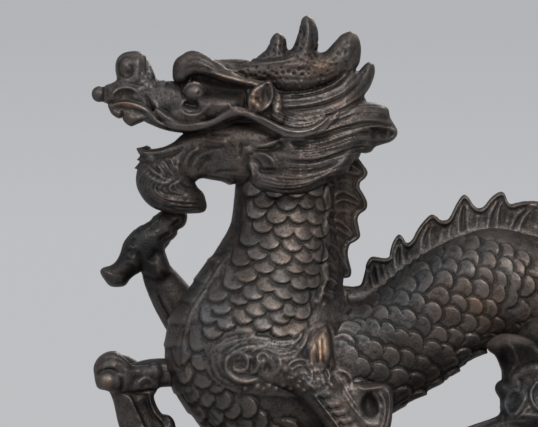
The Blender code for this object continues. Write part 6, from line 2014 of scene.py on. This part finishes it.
# ---------------------------------------------------------------- plinth
def build_plinth():
    n = 110
    profile = catmull([(z, i) for z, i in MOULDING], 60)
    keep = [tuple(r) for r in profile]
    hx, hy, r0 = PLINTH
    rings = []

    def ring(inset, z):
        hx_, hy_, r = hx - inset, hy - inset, r0 - inset * 0.6
        pts = []
        for sx, sy, start in ((1, 1, 0), (-1, 1, 90), (-1, -1, 180), (1, -1, 270)):
            for i in range(n // 2 + 1):
                a = math.radians(start + 90 * i / (n // 2))
                pts.append((sx * (hx_ - r) + r * math.cos(a), sy * (hy_ - r) + r * math.sin(a), z))
            # long sides are filled in so that the relief has points to move
            ex, ey = {(1, 1): (-1, 1), (-1, 1): (-1, -1), (-1, -1): (1, -1), (1, -1): (1, 1)}[(sx, sy)]
            last = np.array(pts[-1][:2])
            nx_start = math.radians(start + 90)
            first = np.array([ex * (hx_ - r) + r * math.cos(nx_start), ey * (hy_ - r) + r * math.sin(nx_start)])
            m = n if abs(first - last).max() > 50 else n // 3
            for i in range(1, m):
                q = last + (first - last) * i / m
                pts.append((q[0], q[1], z))
        return np.array(pts)

    for z, inset in keep:
        rings.append(ring(inset, z))
    top_in = keep[-1][1]
    for i in range(1, 34):
        inset = top_in + i * 1.05
        if inset > 36:
            break
        base = ring(top_in, keep[-1][0])
        scale = 1 - i / 34
        rings.append(base * np.array([scale, scale, 1.0]))
    grid = np.stack(rings)
    ns, nt = grid.shape[:2]
    p = grid.reshape(-1, 3).copy()
    # waves cast in low relief round the side and on the deck
    z = p[:, 2]
    side = (z > 3.4) & (z < 7.2) & (np.arange(len(p)) < len(keep) * nt)
    run = np.concatenate([[0], np.cumsum(np.linalg.norm(np.diff(grid[0], axis=0), axis=1))])
    run = np.tile(run, ns)
    total = run.max()
    wave = 26
    ph = run / total * wave
    fr = ph - np.floor(ph)
    zc = (z - 3.4) / 3.8
    crest = np.abs(zc - (0.25 + 0.55 * np.sin(np.pi * fr) ** 1.2))
    lift = 0.32 * np.exp(-(crest / 0.13) ** 2) + 0.22 * np.exp(-((np.abs(zc - 0.2 - 0.3 * np.sin(np.pi * fr) ** 1.2)) / 0.1) ** 2)
    env = smooth(zc, 0, 0.15) * (1 - smooth(zc, 0.85, 1.0))
    out = np.stack([np.sign(p[:, 0]) * np.clip(np.abs(p[:, 0]) / hx, 0, 1) ** 6, np.sign(p[:, 1]) * np.clip(np.abs(p[:, 1]) / hy, 0, 1) ** 6, 0 * z], axis=1)
    out /= np.linalg.norm(out, axis=1)[:, None] + 1e-9
    p[side] += (out * (lift * env)[:, None])[side]
    deck = np.arange(len(p)) >= len(keep) * nt
    x, y = p[:, 0], p[:, 1]
    q = 0.10 * np.sin(x * 0.42 + 1.3 * np.sin(y * 0.21)) + 0.10 * noise(p, 4.0, 21) + 0.06 * np.sin(np.hypot(x + 48, y) * 1.1)
    edge_keep = smooth(np.minimum(hx - np.abs(x), hy - np.abs(y)), 2.0, 6.0)
    p[deck, 2] += (np.clip(q, -0.2, 0.02) * edge_keep)[deck] - 0.0
    idx = np.arange(ns * nt).reshape(ns, nt)
    nxt = np.roll(idx, -1, axis=1)
    quads = np.stack([idx[:-1], nxt[:-1], nxt[1:], idx[1:]], axis=2).reshape(-1, 4)
    verts = np.vstack([p, [[0, 0, 0]], [[0, 0, keep[-1][0]]]])
    bottom = np.stack([np.full(nt, ns * nt), nxt[0], idx[0], idx[0]], axis=1)
    top = np.stack([np.full(nt, ns * nt + 1), idx[-1], nxt[-1], nxt[-1]], axis=1)
    tri = np.vstack([bottom[:, :3], top[:, :3]])
    return verts, quads, tri


# ---------------------------------------------------------------- finish
def node(tree, kind, **values):
    n = tree.nodes.new(kind)
    for key, value in values.items():
        if key in ("operation", "blend_type", "data_type", "attribute_name", "noise_dimensions",
                   "musgrave_type", "feature", "distance", "interpolation_type", "attribute_type", "clamp"):
            setattr(n, key, value)
        else:
            n.inputs[key.replace("_", " ")].default_value = value
    return n


def ramp(tree, stops):
    n = tree.nodes.new("ShaderNodeValToRGB")
    r = n.color_ramp
    while len(r.elements) < len(stops):
        r.elements.new(0.5)
    for e, (at, value) in zip(r.elements, stops):
        e.position = at
        e.color = (*value, 1.0) if isinstance(value, tuple) else (value, value, value, 1.0)
    return n


def bronze(name, dark=(0.019, 0.0162, 0.0150), mid=(0.056, 0.0470, 0.0420), worn=(0.24, 0.165, 0.112),
           rough=(0.60, 0.40), grain=0.34):
    """Dark patinated bronze: rubbed warm on the highs; darker in the lows as patina and as painted shade; dusty in the
    lows, the dust also a painted fill light; painted highlight and shade spots come from an attribute.
    """
    mat = bpy.data.materials.new(name)
    mat.use_nodes = True
    t = mat.node_tree
    t.nodes.clear()
    out = t.nodes.new("ShaderNodeOutputMaterial")
    s = t.nodes.new("ShaderNodeBsdfPrincipled")
    t.links.new(s.outputs["BSDF"], out.inputs["Surface"])
    coord = t.nodes.new("ShaderNodeTexCoord")
    proud = node(t, "ShaderNodeAttribute", attribute_name="relief")
    rub = node(t, "ShaderNodeAttribute", attribute_name="worn")
    n1 = node(t, "ShaderNodeTexNoise", Scale=55.0, Detail=4.0, Roughness=0.6)
    n2 = node(t, "ShaderNodeTexNoise", Scale=420.0, Detail=3.0, Roughness=0.65)
    n3 = node(t, "ShaderNodeTexNoise", Scale=1500.0, Detail=2.0, Roughness=0.6)
    for n in (n1, n2, n3):
        t.links.new(coord.outputs["Object"], n.inputs["Vector"])
    # relief (mm) + grain -> 0..1 height
    add = node(t, "ShaderNodeMath", operation="MULTIPLY_ADD")
    add.inputs[1].default_value = 1.15
    add.inputs[2].default_value = 0.30
    t.links.new(proud.outputs["Fac"], add.inputs[0])
    mix = node(t, "ShaderNodeMath", operation="MULTIPLY_ADD")
    mix.inputs[1].default_value = 0.5
    t.links.new(n2.outputs["Fac"], mix.inputs[0])
    t.links.new(add.outputs[0], mix.inputs[2])
    fine = node(t, "ShaderNodeMath", operation="MULTIPLY_ADD")
    fine.inputs[1].default_value = 0.55
    t.links.new(n3.outputs["Fac"], fine.inputs[0])
    shift = node(t, "ShaderNodeMath", operation="ADD")
    shift.inputs[1].default_value = -0.275
    t.links.new(mix.outputs[0], shift.inputs[0])
    t.links.new(shift.outputs[0], fine.inputs[2])
    mix = fine
    # colour by height: darker in the lows and paler on the highs, which is dark patina in the hollows and painted shade
    # in the recesses as well
    cr = ramp(t, [(0.0, dark), (0.42, dark), (0.64, mid), (0.95, tuple(1.35 * c for c in mid))])
    t.links.new(mix.outputs[0], cr.inputs["Fac"])
    # rubbed metal shows where hands reach and on the sharpest highs
    high = node(t, "ShaderNodeMath", operation="MULTIPLY_ADD")
    high.inputs[1].default_value = 1.1
    high.inputs[2].default_value = -0.42
    t.links.new(proud.outputs["Fac"], high.inputs[0])
    sum2 = node(t, "ShaderNodeMath", operation="ADD")
    t.links.new(high.outputs[0], sum2.inputs[0])
    t.links.new(rub.outputs["Fac"], sum2.inputs[1])
    patch = node(t, "ShaderNodeMath", operation="MULTIPLY_ADD")
    patch.inputs[1].default_value = 0.9
    patch.inputs[2].default_value = -0.45
    t.links.new(n1.outputs["Fac"], patch.inputs[0])
    sum3 = node(t, "ShaderNodeMath", operation="ADD")
    t.links.new(sum2.outputs[0], sum3.inputs[0])
    t.links.new(patch.outputs[0], sum3.inputs[1])
    sum3.use_clamp = True
    blend = node(t, "ShaderNodeMix", data_type="RGBA")
    t.links.new(sum3.outputs[0], blend.inputs[0])
    t.links.new(cr.outputs["Color"], blend.inputs[6])
    blend.inputs[7].default_value = (*worn, 1.0)
    # grey-green dust in the lows, paler than the dark patina, which also lifts the shaded lows as painted fill light
    low = node(t, "ShaderNodeMath", operation="MULTIPLY_ADD")
    low.inputs[1].default_value = -1.5
    low.inputs[2].default_value = -0.10
    t.links.new(proud.outputs["Fac"], low.inputs[0])
    dust_and_painted_fill = node(t, "ShaderNodeMath", operation="MULTIPLY")
    dust_and_painted_fill.use_clamp = True
    t.links.new(low.outputs[0], dust_and_painted_fill.inputs[0])
    t.links.new(n1.outputs["Fac"], dust_and_painted_fill.inputs[1])
    blend2 = node(t, "ShaderNodeMix", data_type="RGBA")
    t.links.new(dust_and_painted_fill.outputs[0], blend2.inputs[0])
    t.links.new(blend.outputs[2], blend2.inputs[6])
    blend2.inputs[7].default_value = (0.075, 0.078, 0.062, 1.0)
    # painted highlight and painted shade in patches, with some paler and darker patina and random differences from
    # scale to scale, scaling the colour
    tone_and_painted_light = node(t, "ShaderNodeAttribute", attribute_name="tone_and_painted_light")
    much = node(t, "ShaderNodeMath", operation="ADD")
    much.inputs[1].default_value = 1.0
    t.links.new(tone_and_painted_light.outputs["Fac"], much.inputs[0])
    scaled = node(t, "ShaderNodeVectorMath", operation="SCALE")
    t.links.new(blend2.outputs[2], scaled.inputs[0])
    t.links.new(much.outputs[0], scaled.inputs["Scale"])
    # browner (+) and greener (-) casts, in patches and from scale to scale
    hue = node(t, "ShaderNodeAttribute", attribute_name="hue")
    n4 = node(t, "ShaderNodeTexNoise", Scale=150.0, Detail=3.0, Roughness=0.6)
    t.links.new(coord.outputs["Object"], n4.inputs["Vector"])
    cast = node(t, "ShaderNodeMath", operation="MULTIPLY_ADD")
    cast.inputs[1].default_value = 3.2
    t.links.new(n4.outputs["Fac"], cast.inputs[0])
    t.links.new(hue.outputs["Fac"], cast.inputs[2])
    both = t.nodes.new("ShaderNodeCombineXYZ")
    for i, (slope, level) in enumerate(((0.105, 0.834), (-0.012, 1.026), (-0.105, 1.188))):
        part = node(t, "ShaderNodeMath", operation="MULTIPLY_ADD")
        part.inputs[1].default_value = slope
        part.inputs[2].default_value = level
        t.links.new(cast.outputs[0], part.inputs[0])
        t.links.new(part.outputs[0], both.inputs[i])
    dyed = node(t, "ShaderNodeVectorMath", operation="MULTIPLY")
    t.links.new(scaled.outputs[0], dyed.inputs[0])
    t.links.new(both.outputs[0], dyed.inputs[1])
    t.links.new(dyed.outputs[0], s.inputs["Base Color"])
    s.inputs["Metallic"].default_value = 0.66
    s.inputs["Specular Tint"].default_value = (0.55, 0.53, 0.52, 1.0)
    s.inputs["Specular IOR Level"].default_value = 0.42
    rr = ramp(t, [(0.30, rough[0]), (0.75, rough[1])])
    t.links.new(mix.outputs[0], rr.inputs["Fac"])
    t.links.new(rr.outputs["Color"], s.inputs["Roughness"])
    b = t.nodes.new("ShaderNodeBump")
    b.inputs["Strength"].default_value = grain
    b.inputs["Distance"].default_value = 0.0004
    t.links.new(n3.outputs["Fac"], b.inputs["Height"])
    t.links.new(b.outputs["Normal"], s.inputs["Normal"])
    return mat


def plain(name, colour, rough=1.0):
    mat = bpy.data.materials.new(name)
    mat.use_nodes = True
    s = mat.node_tree.nodes["Principled BSDF"]
    s.inputs["Base Color"].default_value = (*colour, 1.0)
    s.inputs["Roughness"].default_value = rough
    s.inputs["Specular IOR Level"].default_value = 0.0
    return mat


# both finishes paint shade into the lows and carry painted highlight and shade spots besides the patina
BRONZE = bronze("dragon_bronze_patina_painted_light")
BASE_BRONZE = bronze("plinth_bronze_patina_painted_light", rough=(0.55, 0.40))


# ---------------------------------------------------------------- stage
def area(name, place, at, size, power, colour):
    light = bpy.data.lights.new(name, "AREA")
    light.shape = "RECTANGLE"
    light.size, light.size_y = size
    light.energy = power
    light.color = colour
    obj = bpy.data.objects.new(name, light)
    bpy.context.scene.collection.objects.link(obj)
    obj.location = place
    d = Vector(at) - Vector(place)
    obj.rotation_euler = d.to_track_quat("-Z", "Y").to_euler()
    return obj


def stage():
    scene = bpy.context.scene
    # round pale floor; the studio beyond it is the world, so no wall hides the object
    mesh = bpy.data.meshes.new("floor")
    ring = [(0.62 * math.cos(2 * math.pi * i / 96), 0.62 * math.sin(2 * math.pi * i / 96), -0.0005) for i in range(96)]
    mesh.from_pydata(ring, [], [tuple(range(96))])
    mesh.materials.append(plain("floor_paper", (0.46, 0.465, 0.475)))
    obj = bpy.data.objects.new("floor", mesh)
    scene.collection.objects.link(obj)

    world = bpy.data.worlds.new("room")
    scene.world = world
    world.use_nodes = True
    t = world.node_tree
    coord = t.nodes.new("ShaderNodeTexCoord")
    split = t.nodes.new("ShaderNodeSeparateXYZ")
    t.links.new(coord.outputs["Generated"], split.inputs[0])
    span = t.nodes.new("ShaderNodeMapRange")
    span.inputs["From Min"].default_value = -0.035
    span.inputs["From Max"].default_value = 0.036
    t.links.new(split.outputs["Z"], span.inputs["Value"])
    sky = ramp(t, [(0.0, (0.520, 0.524, 0.540)), (0.45, (0.515, 0.522, 0.540)), (1.0, (0.452, 0.458, 0.476))])
    t.links.new(span.outputs["Result"], sky.inputs["Fac"])
    bg = t.nodes["Background"]
    t.links.new(sky.outputs["Color"], bg.inputs["Color"])
    bg.inputs["Strength"].default_value = 1.0

    area("key", (0.12, -1.25, 0.85), (0.0, 0.0, 0.08), (0.8, 0.5), 19.0, (1.0, 0.985, 0.96))
    area("left", (-0.95, -0.55, 0.75), (0.0, 0.0, 0.08), (0.6, 0.6), 4.5, (0.86, 0.93, 1.0))
    area("top", (0.05, -0.15, 1.3), (0.0, 0.0, 0.08), (0.9, 0.7), 4.0, (0.97, 0.98, 1.0))
    area("back", (0.5, 1.3, 0.9), (0.0, 0.0, 0.08), (0.8, 0.5), 12.0, (1.0, 0.99, 0.97))

    cam = bpy.data.cameras.new("camera")
    obj = bpy.data.objects.new("camera", cam)
    scene.collection.objects.link(obj)
    scene.camera = obj
    far = 1.60
    c = P(269.0, 213.5) * MM
    look = Vector((SKEW, 1.0, 0.0)).normalized()
    obj.location = Vector(c) - look * far
    obj.rotation_euler = look.to_track_quat("-Z", "Z").to_euler()
    # square the view up: track_quat rolls freely about the sight line
    right = look.cross(Vector((0, 0, 1))).normalized()
    up = right.cross(look)
    obj.matrix_world = Matrix(((right.x, up.x, -look.x, obj.location.x),
                               (right.y, up.y, -look.y, obj.location.y),
                               (right.z, up.z, -look.z, obj.location.z), (0, 0, 0, 1)))
    cam.sensor_fit = "HORIZONTAL"
    cam.sensor_width = 36.0
    cam.lens = 36.0 * far / (538 * SHEET * MM * math.cos(math.radians(OBLIQUE)))
    cam.clip_end = 10.0
    scene.view_settings.view_transform = "Standard"
    scene.view_settings.look = "None"


# ---------------------------------------------------------------- build
def patches(v, spots):
    """Sum of soft spots given on the sheet as (u, v, ru, rv, amount)."""
    u, w = sheet_of(v)
    out = np.zeros(len(v))
    for cu, cw, ru, rw, amount in spots:
        out += amount * np.exp(-((u - cu) / ru) ** 2 - ((w - cw) / rw) ** 2)
    return out


# where handling has worn the patina warm
WARM = [(319, 346, 12, 20, 0.90), (132, 107, 16, 5, 0.60), (255, 102, 7, 11, 0.75), (268, 86, 6, 4, 0.40), (318, 62, 20, 10, 0.36), (108, 380, 10, 9, 0.62),
        (500, 300, 16, 12, 0.24), (478, 306, 20, 8, 0.20), (383, 133, 12, 6, 0.22), (284, 190, 20, 6, 0.15), (277, 107, 4, 12, 0.60),
        (290, 126, 22, 7, 0.24), (344, 200, 12, 8, 0.12), (222, 76, 8, 4, 0.40), (348, 46, 6, 6, 0.22), (340, 396, 10, 18, 0.18)]
# painted light (+) and painted shade (-) in spots: paler where a place should read lit, darker where it should read
# shaded, some of them also paler and darker patina
LIGHT_SHADE_AND_PATINA_SPOTS = [(505, 352, 16, 18, -0.75), (500, 386, 9, 7, -0.30), (509, 404, 9, 14, -0.30), (537, 347, 16, 16, -0.90), (300, 406, 42, 15, -0.25), (450, 368, 46, 12, -0.10),
        (240, 412, 50, 14, -0.05), (240, 228, 9, 40, -0.30), (325, 238, 6, 45, -0.15), (352, 285, 16, 8, -0.50), (142, 403, 9, 11, -0.80), (524, 421, 24, 10, -0.90),
        (150, 290, 24, 30, -0.30), (136, 255, 34, 30, -0.65), (150, 222, 20, 14, -0.30), (215, 150, 28, 12, -0.20), (284, 199, 44, 8, -0.35),
        (370, 272, 10, 10, -0.60), (384, 268, 8, 7, -0.70), (409, 252, 10, 8, -0.90), (441, 228, 13, 5, -0.70), (398, 262, 6, 6, 0.30), (513, 213, 8, 6, -0.30), (364, 206, 8, 10, -0.50), (300, 88, 34, 5, -0.40),
        (468, 212, 8, 10, 0.35), (494, 208, 8, 12, 0.35), (495, 231, 36, 5, 0.50), (484, 334, 34, 12, 0.90), (488, 300, 26, 10, 0.55), (458, 354, 14, 8, 0.60),
        (332, 112, 40, 20, 0.70), (288, 252, 17, 34, 0.36), (283, 274, 12, 9, 0.55), (264, 300, 14, 14, 0.50), (280, 346, 54, 15, 0.75), (342, 394, 14, 24, 1.60),
        (324, 373, 18, 7, 1.00), (278, 371, 52, 7, 0.45), (366, 422, 22, 10, 1.20), (386, 408, 7, 18, 0.60), (495, 274, 30, 22, 0.50), (147, 80, 12, 14, 0.85), (148, 60, 7, 10, 0.60),
        (126, 84, 12, 5, 0.90), (150, 106, 14, 9, 0.70), (304, 132, 26, 9, 1.30), (266, 140, 12, 8, 0.50), (262, 100, 14, 12, 0.35), (277, 107, 4, 12, 0.70), (268, 72, 28, 5, 0.95),
        (236, 80, 18, 4, 1.10), (355, 37, 4, 4, 1.20), (188, 110, 20, 5, 0.20), (340, 74, 24, 10, 0.30), (196, 92, 8, 6, 0.35), (107, 374, 12, 6, 0.50), (204, 292, 12, 30, 0.45), (328, 240, 4, 60, -0.25), (172, 421, 9, 9, -0.4), (200, 156, 20, 9, -0.3), (292, 204, 14, 8, -0.3), (262, 230, 16, 14, -0.2), (172, 346, 8, 22, 0.3), (484, 326, 20, 9, 0.4), (448, 298, 22, 10, 0.25), (151, 405, 4, 12, -0.5), (156, 424, 8, 10, -0.5), (109, 381, 7, 7, -0.35), (148, 204, 12, 9, -0.35), (272, 201, 26, 7, -0.45), (292, 280, 10, 11, -0.35), (316, 322, 9, 11, 0.5), (364, 326, 9, 11, -0.3), (518, 350, 24, 15, -0.4), (255, 86, 17, 7, 1.1), (268, 108, 9, 7, 0.8), (304, 180, 24, 6, 0.4), (304, 132, 20, 7, 0.4), (532, 206, 12, 8, -0.3), (374, 274, 12, 10, -0.3), (124, 276, 14, 10, -0.35), (150, 252, 9, 12, -0.35), (156, 421, 18, 10, -0.4), (197, 420, 9, 8, 0.4), (220, 348, 11, 8, 0.3), (268, 374, 11, 8, 0.3), (316, 374, 9, 9, 0.35), (344, 228, 12, 26, 0.15)]
# browner (+) and greener (-)
HUE = [(145, 82, 24, 28, -0.8), (138, 185, 24, 32, -1.0), (140, 250, 34, 44, -0.9), (214, 300, 26, 60, -0.65), (396, 282, 40, 46, -1.0), (500, 400, 34, 32, -1.1), (135, 368, 32, 14, -0.7),
       (276, 48, 12, 18, -0.7), (152, 118, 16, 10, -0.6), (356, 330, 22, 26, -0.5), (286, 345, 40, 14, -0.5), (455, 262, 30, 20, -0.6), (306, 36, 8, 18, -0.3), (350, 62, 16, 16, -0.4),
       (260, 104, 16, 16, 0.9), (318, 68, 24, 12, 1.5), (222, 130, 28, 12, 0.6), (346, 205, 16, 30, 1.0), (298, 208, 34, 26, 0.8), (484, 310, 46, 32, 1.1), (428, 226, 22, 14, 0.5),
       (126, 106, 14, 7, 0.9), (418, 356, 26, 26, 0.5), (320, 345, 13, 20, 1.0), (535, 300, 20, 44, 0.6), (225, 78, 14, 6, 0.8), (340, 396, 14, 22, 0.2), (300, 268, 12, 30, 0.4)]


def put(name, v, f, tris, node="dragon", material=None, rounds=14, own=None):
    """Rough-cast, thinned to about this many triangles, and named."""
    f = triangles(f)
    n = vertex_normals(v, f)
    v = v + n * (0.035 * noise(v, 1.3, 3) + 0.045 * noise(v, 3.6, 4))[:, None]
    # painted highlight and painted shade spots, with some patina, go into the colour here
    values = {"relief": relief(v, f, n, rounds), "worn": patches(v, WARM), "tone_and_painted_light": patches(v, LIGHT_SHADE_AND_PATINA_SPOTS), "hue": patches(v, HUE)}
    for key, extra in (own or {}).items():
        values[key] = values[key] + extra
    values["tone_and_painted_light"] = np.clip(values["tone_and_painted_light"], -0.82, 2.0)
    v, f, values = decimated(v, f, tris, values)
    emit(name, v, f, material or BRONZE, node, values)
    print(f"   at {time.time() - START:.1f} s")


def main():
    v, f = build_head()
    put("head", v, f, 310000)
    v, q, own = build_trunk()
    put("trunk", v, q, 300000, own=own)
    v, f = build_fin()
    put("fin", v, f, 56000)
    v, f = build_near_arm()
    put("near_arm", v, f, 110000)
    v, f = build_far_arm()
    put("far_arm", v, f, 40000)
    v, f = leg(True)
    put("near_hind_leg", v, f, 56000)
    v, f = leg(False)
    put("far_hind_leg", v, f, 20000)
    v, f = build_crest()
    put("crest_wave", v, f, 18000)
    v, f = build_tuft()
    put("tail_tuft", v, f, 10000)
    v, q, tri = build_plinth()
    put("plinth_casting", v, np.vstack([triangles(q), tri]), 48000, "plinth", BASE_BRONZE)
    stage()


main()
